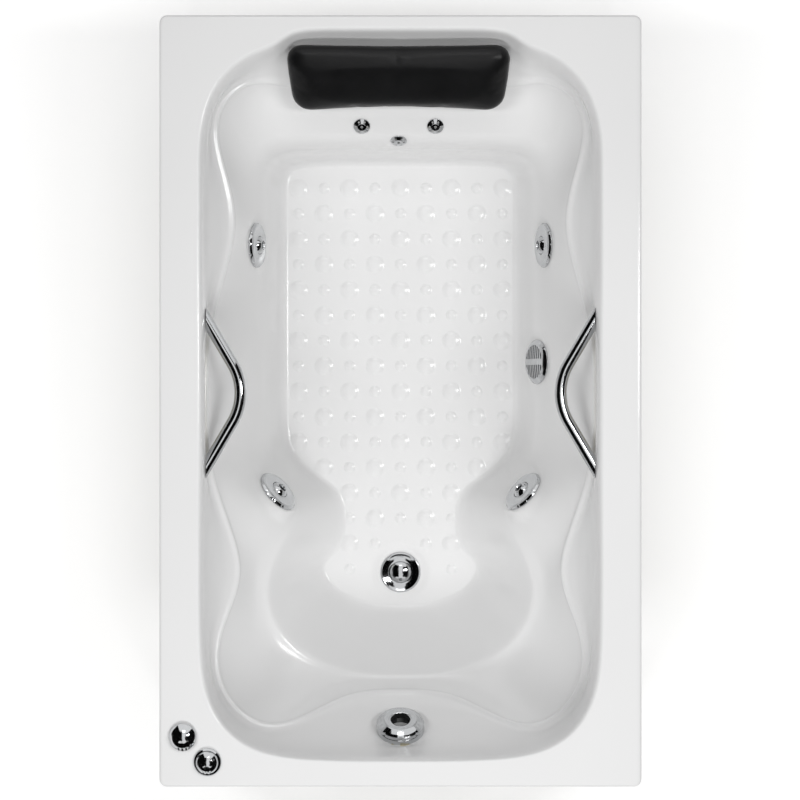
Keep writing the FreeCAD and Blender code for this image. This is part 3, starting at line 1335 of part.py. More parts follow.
doc.recompute()
for item in doc.Objects:
    if "Invalid" in item.State or "Error" in item.State:
        raise RuntimeError(f"{item.Label} failed: {item.State}")
for piece in pieces:
    if piece.Shape.isNull() or not piece.Shape.isValid():
        raise RuntimeError(f"{piece.Label} has no valid shape")

os.makedirs("parts", exist_ok=True)
for piece in pieces:
    piece.Shape.exportStep(f"parts/{piece.Label}.step")
print(len(pieces), "pieces")
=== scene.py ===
import json
import math

import bmesh
import bpy
import numpy as np
from mathutils import Matrix, Vector
from mathutils.geometry import delaunay_2d_cdt


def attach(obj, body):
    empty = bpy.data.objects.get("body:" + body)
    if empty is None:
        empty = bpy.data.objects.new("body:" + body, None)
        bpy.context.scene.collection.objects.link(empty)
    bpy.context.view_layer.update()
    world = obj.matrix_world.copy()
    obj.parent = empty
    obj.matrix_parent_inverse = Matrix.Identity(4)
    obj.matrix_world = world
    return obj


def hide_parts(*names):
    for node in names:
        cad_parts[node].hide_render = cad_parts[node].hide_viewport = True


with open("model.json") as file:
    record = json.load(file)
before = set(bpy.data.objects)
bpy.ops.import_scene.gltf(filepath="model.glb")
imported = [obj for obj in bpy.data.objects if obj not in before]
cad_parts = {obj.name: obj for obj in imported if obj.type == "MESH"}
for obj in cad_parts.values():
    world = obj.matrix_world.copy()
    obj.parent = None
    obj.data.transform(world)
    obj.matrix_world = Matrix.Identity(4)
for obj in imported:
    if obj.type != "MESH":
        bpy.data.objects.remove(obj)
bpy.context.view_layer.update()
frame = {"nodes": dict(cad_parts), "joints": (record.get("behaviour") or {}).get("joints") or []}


# --- The moulded tub ---
# One sheet of white cast acrylic, vacuum-formed over a mould
# and backed with sprayed glass fibre: a level deck with a rolled lip, a
# waisted basin with seats for the fittings, and a floor of anti-slip domes.

MM = 0.001
rim_height, basin_depth, shell_wall = 560, 425, 6
half_width, half_length, corner_radius, lip_depth, lip_roll = 500, 800, 16, 38, 6
floor_fall, head_reach, foot_reach = 8, 766, 739

# Half of each drawn line of the basin, from the middle of the head wall to the middle of the foot wall:
# places in plan, and for the ledge, wall and hip also the depth under the rim, in millimetres.
opening = [(0, 766), (129, 766), (226, 766), (252, 733), (316, 716), (382, 658), (411, 567), (411, 480),
           (411, 372), (411, 247), (411, 116), (411, -8), (411, -102), (411, -172), (411, -226),
           (411, -276), (411, -330), (411, -396), (411, -496), (403, -633), (316, -729), (156, -739),
           (0, -739)]
ledge = [(0, 668, 138), (131, 668, 138), (237, 668, 138), (271, 675, 132), (322, 676, 124),
         (368, 643, 114), (393, 581, 105), (377, 504, 118), (340, 381, 140), (379, 247, 112),
         (406, 117, 78), (407, -8, 75), (404, -103, 80), (391, -175, 97), (373, -231, 118),
         (355, -287, 136), (339, -347, 148), (347, -413, 146), (391, -507, 125), (385, -620, 112),
         (272, -721, 135), (125, -624, 222), (0, -627, 238)]
wall = [(0, 548, 196), (130, 548, 196), (233, 548, 198), (272, 545, 203), (302, 537, 210),
        (322, 520, 218), (331, 496, 226), (331, 450, 230), (325, 384, 235), (329, 258, 232),
        (337, 121, 225), (337, -9, 222), (334, -112, 214), (318, -172, 203), (268, -226, 196),
        (284, -285, 200), (312, -343, 212), (318, -414, 232), (311, -493, 250), (261, -569, 262),
        (185, -604, 268), (92, -609, 272), (0, -609, 274)]
hip = [(0, 546, 300), (132, 546, 300), (220, 543, 302), (260, 536, 306), (282, 523, 312),
       (293, 500, 320), (295, 469, 320), (295, 432, 320), (295, 366, 320), (295, 244, 320),
       (297, 123, 320), (298, 2, 318), (298, -100, 312), (276, -162, 304), (216, -212, 296),
       (222, -268, 262), (266, -332, 230), (291, -410, 240), (270, -490, 258), (214, -547, 266),
       (135, -583, 272), (66, -592, 275), (0, -592, 276)]
floor_edge = [(0, 541), (135, 541), (213, 539), (247, 528), (263, 510), (267, 483), (267, 451),
              (267, 416), (267, 362), (267, 249), (267, 126), (267, 2), (267, -115), (202, -173),
              (139, -209), (135, -267), (144, -330), (198, -357), (166, -429), (108, -456), (67, -469),
              (34, -474), (0, -474)]
drain_place = Vector((0, -385, 134.88))
drain_recess_radius, drain_hole = 58, 25.3


def inset(line, distance):
    """A drawn line moved towards the inside of the basin."""
    moved = []
    for place, point in enumerate(line):
        before, after = line[max(place - 1, 0)], line[min(place + 1, len(line) - 1)]
        run = Vector((after[0] - before[0], after[1] - before[1])).normalized()
        if place in (0, len(line) - 1):
            run = Vector((1 if place == 0 else -1, 0))
        moved.append((point[0] + run.y * distance, point[1] - run.x * distance) + tuple(point[2:]))
    return moved


def closed_row(row):
    """Both halves of a row as one ring, in millimetres, from the middle of the head wall."""
    left = [(-x, y, rim_height - depth) for x, y, depth in row]
    return left + [(x, y, rim_height - depth) for x, y, depth in row[-2:0:-1]]


def fall(y):
    """The height of the floor over its lowest, which is at the drain end."""
    return floor_fall * (y + foot_reach) / (head_reach + foot_reach)


rows = [
    [(x, y, 0) for x, y in inset(opening, -14)],
    [(x, y, 0) for x, y in opening],
    [(x, y, 0.55 * below[2]) for (x, y), below in zip(inset(opening, 7), ledge)],
    [(x, y, depth - 5) for x, y, depth in inset(ledge, -16)],
    inset(ledge, -1),
    [(x, y, depth + 14) for x, y, depth in inset(ledge, 4)],
    wall,
    [(x, y, depth - 3) for x, y, depth in inset(hip, -7)],
    [(x, y, depth + 9) for x, y, depth in inset(hip, 3)],
    [(x, y, basin_depth) for x, y in floor_edge],
    [(x, y, basin_depth) for x, y in inset(floor_edge, 22)],
]
inner_net = np.array([closed_row(row) for row in rows], float)
inner_net[-2:, :, 2] += fall(inner_net[-2:, :, 1])
along = np.roll(inner_net, -1, axis=1) - np.roll(inner_net, 1, axis=1)
down = np.concatenate([inner_net[1:], inner_net[-1:]]) - np.concatenate([inner_net[:1], inner_net[:-1]])
out = np.cross(down, along)
outer_net = inner_net + out / np.linalg.norm(out, axis=2, keepdims=True) * shell_wall
outer_net[0] = inner_net[0] - (0, 0, shell_wall)
outer_net[-2:, :, 2] = rim_height - basin_depth - shell_wall


def smooth_surface(net, stations, levels):
    """Points of the uniform cubic surface over a ring-shaped net: levels down, stations round."""
    padded = np.concatenate([net[:1]] * 2 + [net] + [net[-1:]] * 2)
    count = net.shape[1]

    def weights(share):
        return ((1 - share) ** 3 / 6, (3 * share ** 3 - 6 * share ** 2 + 4) / 6,
                (-3 * share ** 3 + 3 * share ** 2 + 3 * share + 1) / 6, share ** 3 / 6)

    first = np.floor(stations).astype(int)
    round_weights = weights(stations - first)
    around = sum(padded[:, (first + step - 1) % count] * round_weights[step][None, :, None]
                 for step in range(4))
    top = np.minimum(levels.astype(int), len(padded) - 4)
    down_weights = weights(levels - top)
    return sum(around[top + step] * down_weights[step][:, None, None] for step in range(4))


turning = {joint["name"]: joint for joint in frame["joints"]}


def seat_frame(place, normal, side):
    """The place of a fitting, in metres: +Z out of the wall, +X as near as can be to a given side."""
    z = Vector(normal).normalized()
    x = (Vector(side) - Vector(side).dot(z) * z).normalized()
    y = z.cross(x)
    return Matrix.Translation(place) @ Matrix((x, y, z)).transposed().to_4x4()


large_jets = {}
for name in ("side_left", "side_right", "foot_left", "foot_right"):
    ring_joint, tilt_joint = turning[f"jet_ring_{name}_turn"], turning[f"jet_nozzle_{name}_tilt"]
    large_jets[name] = seat_frame(ring_joint["pos_m"], ring_joint["axis"], tilt_joint["axis"])
back_jets = {}
for name in ("left", "middle", "right"):
    face_joint = turning[f"back_jet_{name}_turn"]
    back_jets[name] = seat_frame(face_joint["pos_m"], face_joint["axis"], (1, 0, 0))
knob_joint = turning["overflow_knob_turn"]
overflow = seat_frame(knob_joint["pos_m"], knob_joint["axis"], (1, 0, 0))
suction = seat_frame((0.302, 0.086, 0.2434), (-0.9069, -0.0029, 0.4213), (0.4213, 0, 0.9069))
drain = Matrix.Translation(drain_place * MM)

# A seat is a flat round place in the wall under each fitting, with a soft edge.
large_seat, overflow_seat, small_seat, seat_reach = 51, 53, 19.5, 45
seats = [(place, large_seat) for place in large_jets.values()]
seats += [(suction, large_seat), (overflow, overflow_seat)]
seats += [(place, small_seat) for place in back_jets.values()]


def seated(points, soft_edge=16):
    """Wall points pressed on to the flat seats, in millimetres."""
    for place, radius in seats:
        world = np.array(place)
        local = (points * MM - world[:3, 3]) @ world[:3, :3] / MM
        reach = np.hypot(local[..., 0], local[..., 1])
        near = np.abs(local[..., 2]) < seat_reach
        share = np.clip((radius + soft_edge - reach) / soft_edge, 0, 1)
        share = np.where(near, share * share * (3 - 2 * share), 0)
        local[..., 2] *= 1 - share
        points = local * MM @ world[:3, :3].T / MM + world[:3, 3] / MM
    return points


# The anti-slip domes: nine lines, large and small turn about, fewer round the drain.
dome_pitch, line_pitch, first_line = 57.2, 57.05, 477.6
dome_rise, large_dome, small_dome = 3, 20.5, 12.5
dome_lines = [range(9)] * 11 + [range(1, 8), *[range(2, 7)] * 3, (2, 6)]
domes = []
for line, places in enumerate(dome_lines):
    for place in places:
        large = (place + line) % 2 == 0
        centre = ((place - 4) * dome_pitch, first_line - line * line_pitch)
        if math.hypot(centre[0], centre[1] - drain_place.y) > drain_recess_radius + 8:
            domes.append((centre, large_dome if large else small_dome))


def dome_height(x, y):
    """How far the domes raise the floor at places in plan, in millimetres."""
    height = np.zeros_like(x)
    for (cx, cy), radius in domes:
        square = ((x - cx) ** 2 + (y - cy) ** 2) / radius ** 2
        rise = dome_rise * (radius / large_dome) ** 0.5
        height = np.maximum(height, rise * np.clip(1 - square ** 1.6, 0, 1))
    return height


per_station = 8
stations = np.arange(inner_net.shape[1] * per_station) / per_station
inside_levels = np.concatenate([np.arange(0, 10, 0.09), np.linspace(10, 11, 10)])
inside = smooth_surface(inner_net, stations, inside_levels)

# A low bead rolls along the ledge, over a shallow gutter: height in millimetres, place and spread in rows.
bead_rise, bead_level, bead_spread = 3.2, 4.9, 0.42
gutter_depth, gutter_level, gutter_spread = 1.6, 3.9, 0.5
slope_round = np.roll(inside, -1, axis=1) - np.roll(inside, 1, axis=1)
facing = np.cross(np.gradient(inside, axis=0), -slope_round)
facing /= np.maximum(np.linalg.norm(facing, axis=2, keepdims=True), 1e-9)
bead = bead_rise * np.exp(-((inside_levels - bead_level) / bead_spread) ** 2)
bead -= gutter_depth * np.exp(-((inside_levels - gutter_level) / gutter_spread) ** 2)
inside = seated(inside + facing * bead[:, None, None])
dome_rows = 12
floor_rows = inside[-dome_rows:]
dome_share = np.linspace(0, 1, dome_rows)[:, None]
floor_rows[..., 2] += dome_height(floor_rows[..., 0], floor_rows[..., 1]) * dome_share
outside_levels = np.concatenate([np.arange(0, 10, 0.25), np.linspace(10, 12, 6)])
outside = smooth_surface(outer_net, stations, outside_levels)
ring_size = len(stations)

# The deck's edge: each corner of the outer line takes nine points, the rest lie along the straights.
angles = np.arctan2(inside[0, :, 1], inside[0, :, 0])
corner_steps = 4
corners = []
for side_x, side_y in ((-1, 1), (-1, -1), (1, -1), (1, 1)):
    wanted = math.atan2(side_y * half_length, side_x * half_width)
    nearest = int(np.argmin(np.abs(np.angle(np.exp(1j * (angles - wanted))))))
    corners.append((nearest, side_x, side_y))


def deck_line(shrink):
    """The deck's outline, drawn in by a distance, with a point for each station round the basin."""
    radius = max(corner_radius - shrink, 1)
    reach = np.array([half_width, half_length]) - shrink - radius
    line = np.zeros((ring_size, 2))
    for middle, *side in corners:
        start = math.atan2(side[1], side[0])
        for step in range(-corner_steps, corner_steps + 1):
            turn = start + step * math.pi / 4 / corner_steps
            spoke = np.array([math.cos(turn), math.sin(turn)])
            line[(middle + step) % ring_size] = reach * side + radius * spoke
    for (middle, *_), (following, *_) in zip(corners, corners[1:] + corners[:1]):
        first, last = middle + corner_steps, following - corner_steps
        if last < first:
            last += ring_size
        for step in range(first + 1, last):
            share = (step - first) / (last - first)
            line[step % ring_size] = line[first % ring_size] * (1 - share) + line[last % ring_size] * share
    return line


def level_ring(line, height):
    """A line in plan as points at one height."""
    return np.column_stack([line, np.full(len(line), float(height))])


# The deck from the opening out, over the rolled lip, down its side, round its foot and back under.
deck_rings = []
opening_line = inside[0, :, :2]
for share in (0.2, 0.4, 0.6, 0.8):
    deck_rings.append(level_ring(opening_line * (1 - share) + deck_line(lip_roll + 4) * share, rim_height))
deck_rings.append(level_ring(deck_line(lip_roll + 4), rim_height))
for step in range(6):
    turn = math.pi / 2 * step / 5
    deck_rings.append(level_ring(deck_line(lip_roll * (1 - math.sin(turn))),
                                 rim_height - lip_roll * (1 - math.cos(turn))))
for shrink, drop in ((0, 14), (0, 26), (0, lip_depth - 1.5), (1.5, lip_depth), (shell_wall - 1.5, lip_depth),
                     (shell_wall, lip_depth - 1.5), (shell_wall, 20), (shell_wall, shell_wall + 2),
                     (shell_wall + 2, shell_wall)):
    deck_rings.append(level_ring(deck_line(shrink), rim_height - drop))
for share in (0.6, 0.3):
    line = outside[0, :, :2] * (1 - share) + deck_line(shell_wall + 2) * share
    deck_rings.append(level_ring(line, rim_height - shell_wall))
deck_rings = np.array(deck_rings)


def ring_quads(rings, around, start=0):
    """Faces between rings of points that follow each other in a list."""
    faces = []
    for here in range(start, start + (rings - 1) * around, around):
        for place in range(around):
            a, b = here + place, here + (place + 1) % around
            faces.append((a, b, b + around, a + around))
    return faces


def floor_patch(boundary, hole, inner_points):
    """A flat area inside a line and outside the hole, as points and faces in plan."""
    points = [Vector(p[:2]) for p in boundary] + [Vector(p) for p in hole + inner_points]
    edges = [(k, (k + 1) % len(boundary)) for k in range(len(boundary))]
    edges += [(len(boundary) + k, len(boundary) + (k + 1) % len(hole)) for k in range(len(hole))]
    found, _, faces, *_ = delaunay_2d_cdt(points, edges, [], 1, 1e-4)
    return np.array([tuple(p) for p in found]), faces


def circle_points(centre, radius, count):
    """Points evenly round a circle in plan."""
    return [(centre[0] + radius * math.cos(2 * math.pi * k / count),
             centre[1] + radius * math.sin(2 * math.pi * k / count)) for k in range(count)]


# The floor's own points: rings on each dome and round the drain's recess, and a loose grid between them.
boundary = inside[-1]
drain_centre = (drain_place.x, drain_place.y)
drain_count, grid_step = 64, 24
inner_points = []
for centre, radius in domes:
    inner_points.append(centre)
    for share, count in ((0.3, 8), (0.62, 14), (0.88, 20), (1, 24), (1.12, 24)):
        inner_points += circle_points(centre, radius * share, count)
for radius in (drain_recess_radius - 2.5, drain_recess_radius + 3, drain_recess_radius + 14, 46, 36):
    inner_points += circle_points(drain_centre, radius, drain_count)
for x in range(-240, 241, grid_step):
    for y in range(-470, 530, grid_step):
        clear = min(math.hypot(x - cx, y - cy) - 1.2 * radius for (cx, cy), radius in domes)
        if clear > 4 and math.hypot(x, y - drain_place.y) > drain_recess_radius + 20:
            inner_points.append((x, y))
polygon = [tuple(p[:2]) for p in boundary]


def within(point, line, margin):
    """Whether a place in plan lies inside a closed line, and clear of it."""
    inside_it = False
    nearest = 1e9
    for (ax, ay), (bx, by) in zip(line, line[1:] + line[:1]):
        if (ay > point[1]) != (by > point[1]) and point[0] < (bx - ax) * (point[1] - ay) / (by - ay) + ax:
            inside_it = not inside_it
        nearest = min(nearest, math.hypot(ax - point[0], ay - point[1]))
    return inside_it and nearest > margin


inner_points = [p for p in inner_points if within(p, polygon, 3)]
hole_line = circle_points(drain_centre, drain_hole, drain_count)
patch, patch_faces = floor_patch(boundary, hole_line, inner_points)
drain_reach = np.hypot(patch[:, 0] - drain_centre[0], patch[:, 1] - drain_centre[1])
patch_height = rim_height - basin_depth + fall(patch[:, 1]) + dome_height(patch[:, 0], patch[:, 1])
recess_share = np.clip((drain_reach - (drain_recess_radius - 3)) / 6, 0, 1)
patch_height = drain_place.z * (1 - recess_share) + patch_height * recess_share
patch_height[:ring_size] = boundary[:, 2]
under_patch, under_faces = floor_patch(outside[-1], hole_line, [])

tub_points = [deck_rings.reshape(-1, 3), inside.reshape(-1, 3), outside.reshape(-1, 3)]
inside_start = len(deck_rings) * ring_size
outside_start = inside_start + len(inside) * ring_size
tub_faces = [(d, c, b, a) for a, b, c, d in ring_quads(len(deck_rings), ring_size)]
tub_faces += ring_quads(len(inside), ring_size, inside_start)
tub_faces += [(d, c, b, a) for a, b, c, d in ring_quads(len(outside), ring_size, outside_start)]
deck_last = (len(deck_rings) - 1) * ring_size
for place in range(ring_size):
    following = (place + 1) % ring_size
    tub_faces.append((inside_start + place, place, following, inside_start + following))
    tub_faces.append((outside_start + place, outside_start + following,
                      deck_last + following, deck_last + place))
patch_start = outside_start + len(outside) * ring_size
tub_points.append(np.column_stack([patch, patch_height]))
tub_faces += [tuple(patch_start + k for k in face) for face in patch_faces]
under_start = patch_start + len(patch)
tub_points.append(np.column_stack([under_patch, np.full(len(under_patch), outside[-1, 0, 2])]))
tub_faces += [tuple(under_start + k for k in reversed(face)) for face in under_faces]
for place in range(drain_count):
    following = (place + 1) % drain_count
    tub_faces.append((patch_start + ring_size + place, patch_start + ring_size + following,
                      under_start + ring_size + following, under_start + ring_size + place))


def linked(name, data):
    """A new object in the scene."""
    piece = bpy.data.objects.new(name, data)
    bpy.context.scene.collection.objects.link(piece)
    return piece


def mesh_piece(name, points, faces, materials, sharp=35):
    """An object from points in millimetres: doubles merged, normals outwards, smooth but for sharp bends."""
    mesh = bpy.data.meshes.new(name)
    mesh.from_pydata([tuple(float(c) * MM for c in p) for p in points], [], [tuple(f) for f in faces])
    work = bmesh.new()
    work.from_mesh(mesh)
    bmesh.ops.remove_doubles(work, verts=work.verts, dist=2e-6)
    bmesh.ops.recalc_face_normals(work, faces=work.faces)
    work.to_mesh(mesh)
    work.free()
    for material in materials:
        mesh.materials.append(material)
    mesh.shade_smooth()
    mesh.set_sharp_from_angle(angle=math.radians(sharp))
    return linked(name, mesh)


def linear(hex_colour):
    """A colour written as sRGB hex, as the linear values that a shader takes."""
    values = [int(hex_colour[place:place + 2], 16) / 255 for place in (1, 3, 5)]
    return [v / 12.92 if v <= 0.04045 else ((v + 0.055) / 1.055) ** 2.4 for v in values] + [1.0]


def connect(node, inputs):
    """Sets inputs of a node: to a plain value, another node's output, or a node's first output."""
    for name, value in inputs.items():
        if isinstance(value, bpy.types.Node):
            value = value.outputs[0]
        if isinstance(value, bpy.types.NodeSocket):
            node.id_data.links.new(value, node.inputs[name])
        else:
            node.inputs[name].default_value = value


def add(tree, kind, inputs=None, **settings):
    """A new node with its settings and its inputs."""
    made = tree.nodes.new(kind)
    for name, value in settings.items():
        setattr(made, name, value)
    connect(made, inputs or {})
    return made


def surface(name, **sockets):
    """A new material with one shader, whose constants are set on its own sockets."""
    material = bpy.data.materials.new(name)
    material.use_nodes = True
    shader = material.node_tree.nodes["Principled BSDF"]
    for socket, value in sockets.items():
        shader.inputs[socket.replace("_", " ")].default_value = value
    return material, material.node_tree, shader


def finish(name, dark, light, gloss, scale, detail=5.0, relief=(0.1, 0.0005), wave=None, **sockets):
    """A material that wanders between two shades and two degrees of roughness.

    Both follow a cloudy noise of this scale and detail. Relief is the strength and depth of a bump, which
    follows a noise of its own where wave gives that one's scale and detail.
    """
    low, high = gloss
    material, tree, shader = surface(name, Roughness=(low + high) / 2, **sockets)
    place = add(tree, "ShaderNodeTexCoord").outputs["Object"]
    haze = add(tree, "ShaderNodeTexNoise", {"Vector": place, "Scale": scale, "Detail": detail})
    tint = add(tree, "ShaderNodeMix", {"Factor": haze, "A": linear(dark), "B": linear(light)},
               data_type="RGBA")
    connect(shader, {"Base Color": tint.outputs["Result"]})
    if low < high:
        wear = add(tree, "ShaderNodeMapRange", {"Value": haze, "To Min": low, "To Max": high})
        connect(shader, {"Roughness": wear})
    if wave:
        haze = add(tree, "ShaderNodeTexNoise", {"Vector": place, "Scale": wave[0], "Detail": wave[1]})
    if relief:
        bump = add(tree, "ShaderNodeBump", {"Height": haze, "Strength": relief[0], "Distance": relief[1]})
        connect(shader, {"Normal": bump})
    return material


# Cast acrylic, polished: deep even white, a hard clear gloss with the faintest ripple of the forming.
acrylic = finish("cast_acrylic_polished", "#E5E5E5", "#EAEAEA", (0.13, 0.2), 3.0, 3.0, (0.04, 0.002),
                 (14.0, 2.0), IOR=1.49)

# Sprayed glass fibre in resin: rough, slightly yellow, with chopped strands about 30 mm long lying all ways.
fibre_back, tree, shader = surface("sprayed_glass_fibre", IOR=1.55, Roughness=0.5)
place = add(tree, "ShaderNodeTexCoord").outputs["Object"]
strands = add(tree, "ShaderNodeTexNoise", {"Vector": place, "Scale": 90.0, "Detail": 6.0, "Distortion": 2.5})
blotch = add(tree, "ShaderNodeTexNoise", {"Vector": place, "Scale": 9.0, "Detail": 3.0})
both = add(tree, "ShaderNodeMath", {0: strands, 1: blotch}, operation="MULTIPLY")
tint = add(tree, "ShaderNodeMix", {"Factor": both, "A": linear("#B9AE8C"), "B": linear("#E6E0CC")},
           data_type="RGBA")
bump = add(tree, "ShaderNodeBump", {"Height": strands, "Strength": 0.6, "Distance": 0.002})
connect(shader, {"Base Color": tint.outputs["Result"], "Normal": bump})

tub = mesh_piece("moulded_tub", np.concatenate(tub_points), tub_faces, [acrylic, fibre_back])
fibre_above, deck_inner_half, deck_inner_length = 120, 390, 735
for face in tub.data.polygons:
    centre = face.center / MM
    past_basin = max(abs(centre.x) - deck_inner_half, abs(centre.y) - deck_inner_length) > 0
    under_deck = centre.z < rim_height - 5 and face.normal.z < -0.5 and past_basin
    if face.normal.z < -0.12 and centre.z > fibre_above or under_deck:
        face.material_index = 1
    if abs(centre.x) > half_width - shell_wall - 1 or abs(centre.y) > half_length - shell_wall - 1:
        face.material_index = 0
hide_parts("tub_shell")
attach(tub, "tub")


# --- Turned fittings ---
# Helpers for round parts: a profile is (radius, height) in
# millimetres from the seat up, with its corners eased as a mould or polish leaves them.


def eased(profile, radius):
    """A closed profile with each corner off the axis turned into a small three-step round."""
    eased_points = []
    for place, corner in enumerate(profile):
        point = Vector(corner)
        back, on = Vector(profile[place - 1]) - point, Vector(profile[(place + 1) % len(profile)]) - point
        if point.x < 1e-6 or min(back.length, on.length) < 1e-6:
            eased_points.append(tuple(point))
            continue
        reach = min(radius, back.length * 0.45, on.length * 0.45)
        start, end = point + back.normalized() * reach, point + on.normalized() * reach
        for share in (0, 0.33, 0.67, 1):
            spot = start * (1 - share) ** 2 + point * (2 * share * (1 - share)) + end * share ** 2
            eased_points.append(tuple(spot))
    return eased_points


def turned_piece(name, profile, materials, place, count=96, shape=None, ease=0.5):
    """A closed round piece from a closed profile; shape may change a point by its angle."""
    outline = eased(profile, ease)
    points, faces = [], []
    for step in range(count):
        turn = 2 * math.pi * step / count
        for radius, height in outline:
            if shape:
                radius, height = shape(radius, height, turn)
            spot = place @ Vector((radius * MM * math.cos(turn), radius * MM * math.sin(turn), height * MM))
            points.append(spot / MM)
    size = len(outline)
    for step in range(count):
        here, there = step * size, (step + 1) % count * size
        for low in range(size):
            high = (low + 1) % size
            if max(outline[low][0], outline[high][0]) >= 1e-6:
                faces.append((here + low, there + low, there + high, here + high))
    return mesh_piece(name, points, faces, materials, 30)


# Chrome plate over polished brass: a cool mirror with faint polishing waves and a hint of water haze.
chrome = finish("polished_chrome_plate", "#BEC0C2", "#CBCCCD", (0.04, 0.12), 35.0, 4.0, None, Metallic=1.0)

# Moulded ABS, glossy: as white as the tub with a slightly softer shine.
white_plastic = finish("moulded_white_abs", "#DADAD8", "#E4E4E2", (0.24, 0.24), 40.0, 3.0, (0.05, 0.0005),
                       IOR=1.54)

# Chrome plate over moulded ABS: the same mirror, a little wavier where the moulding shrank under it.
plated_plastic = finish("chrome_plate_on_abs", "#C2C4C6", "#D2D3D4", (0.05, 0.13), 60.0, 4.0,
                        (0.12, 0.001), (45.0, 1.0), Metallic=1.0)


# --- Large jets ---
# A chromed screw-on ring with finger grips round its rim holds a
# ball with the nozzle bored through it; the ring turns and the ball tilts in it.

ring_profile = [(22.2, 3.4), (20.4, 7.2), (20.2, 8.8), (22, 9.4), (26, 8.2), (38, 7.6), (41, 8.4), (45, 7),
                (49, 2.8), (49, 0.4), (42.5, 0.4), (42.5, 3.4)]


notch_start = 44


def notched(count, rim, bite, centre):
    """A shape with round finger notches in its rim: how many, the rim's radius, a notch's and its centre."""
    def shape(radius, height, turn):
        step = 2 * math.pi / count
        away = abs((turn + step / 2) % step - step / 2) * rim
        if radius > notch_start and away < bite:
            return min(radius, centre - math.sqrt(bite * bite - away * away)), height
        return radius, height
    return shape


ball_radius, bore_radius, ball_sink = 22, 8, 2
ball_profile = [(bore_radius, -20.4)]
ball_profile += [(ball_radius * math.cos(math.radians(a)), ball_radius * math.sin(math.radians(a)))
                 for a in range(-66, 60, 6)]
ball_profile += [(11.1, 19), (9.8, 18.8), (8.6, 15), (bore_radius, 10)]
for name, place in large_jets.items():
    ring = turned_piece(f"jet_ring_{name}", ring_profile, [plated_plastic], place, 216,
                        notched(12, 49, 3, 50.2))
    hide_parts(f"jet_ring_{name}")
    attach(ring, f"ring_{name}")
    ball_place = place @ Matrix.Translation((0, 0, -ball_sink * MM))
    ball = turned_piece(f"jet_ball_{name}", ball_profile, [plated_plastic], ball_place, 72, ease=0.3)
    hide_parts(f"jet_nozzle_{name}")
    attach(ball, f"nozzle_{name}")


# --- Suction cover ---
# A domed chromed guard clipped over the suction, a rim with slats
# across it and one broad crossbar, so that nothing is drawn against the inlet.

rim_profile = [(36, 6.2), (37, 9.4), (40, 9.6), (44, 7.2), (49, 2.8), (49, 0.4), (42.5, 0.4), (42.5, 3.4),
               (38, 4)]
cover_rim = turned_piece("suction_cover_rim", rim_profile, [plated_plastic], suction, 144)

# Slats on a line of points, each as long as the rim's chord there, and all bent to a low dome; in metres.
slat_sizes = {"Pitch": 0.008, "Rim radius": 0.038, "Slat width": 0.0036, "Slat depth": 0.0035,
              "Dome rise": 0.0026}
slat_count, crossbar_size = 10, (0.013, 0.074, 0.0042)
tree = bpy.data.node_groups.new("grille_slats", "GeometryNodeTree")
tree.interface.new_socket("Geometry", in_out="OUTPUT", socket_type="NodeSocketGeometry")
inputs = [tree.interface.new_socket(size, in_out="INPUT", socket_type="NodeSocketFloat").identifier
          for size in slat_sizes]
given = add(tree, "NodeGroupInput")
pitch, rim = given.outputs["Pitch"], given.outputs["Rim radius"]
step = add(tree, "ShaderNodeCombineXYZ", {"Y": pitch})
start = add(tree, "ShaderNodeMath", {0: pitch, 1: (1 - slat_count) / 2}, operation="MULTIPLY")
first = add(tree, "ShaderNodeCombineXYZ", {"Y": start})
line = add(tree, "GeometryNodeMeshLine", {"Count": slat_count, "Offset": step, "Start Location": first},
           mode="OFFSET")
at = add(tree, "ShaderNodeSeparateXYZ", {"Vector": add(tree, "GeometryNodeInputPosition")})
x, y = at.outputs["X"], at.outputs["Y"]
x_square = add(tree, "ShaderNodeMath", {0: x, 1: x}, operation="MULTIPLY")
y_square = add(tree, "ShaderNodeMath", {0: y, 1: y}, operation="MULTIPLY")
rim_square = add(tree, "ShaderNodeMath", {0: rim, 1: rim}, operation="MULTIPLY")
left = add(tree, "ShaderNodeMath", {0: rim_square, 1: y_square}, operation="SUBTRACT")
left = add(tree, "ShaderNodeMath", {0: left, 1: 0.00001}, operation="MAXIMUM")
chord = add(tree, "ShaderNodeMath", {0: left}, operation="SQRT")
chord = add(tree, "ShaderNodeMath", {0: chord, 1: 2.0}, operation="MULTIPLY")
size = add(tree, "ShaderNodeCombineXYZ", {"X": chord, "Y": given.outputs["Slat width"],
                                          "Z": given.outputs["Slat depth"]})
bar = add(tree, "GeometryNodeMeshCube", {"Size": (1, 1, 1), "Vertices X": 20})
slats = add(tree, "GeometryNodeInstanceOnPoints", {"Points": line, "Instance": bar, "Scale": size})
crossbar = add(tree, "GeometryNodeMeshCube", {"Size": crossbar_size, "Vertices Y": 20})
both = add(tree, "GeometryNodeJoinGeometry")
for part in (slats, crossbar):
    connect(both, {"Geometry": part})
real = add(tree, "GeometryNodeRealizeInstances", {"Geometry": both})
squares = add(tree, "ShaderNodeMath", {0: x_square, 1: y_square})
share = add(tree, "ShaderNodeMath", {0: squares, 1: rim_square}, operation="DIVIDE")
share = add(tree, "ShaderNodeMath", {0: 1.0, 1: share}, operation="SUBTRACT")
lift = add(tree, "ShaderNodeMath", {0: share, 1: given.outputs["Dome rise"]}, operation="MULTIPLY")
lift = add(tree, "ShaderNodeCombineXYZ", {"Z": lift})
bent = add(tree, "GeometryNodeSetPosition", {"Geometry": real, "Offset": lift})
coloured = add(tree, "GeometryNodeSetMaterial", {"Geometry": bent, "Material": plated_plastic})
add(tree, "NodeGroupOutput", {"Geometry": coloured})
slat_place = suction @ Matrix.Translation((0, 0, 7.2 * MM)) @ Matrix.Rotation(math.pi / 2, 4, "Z")
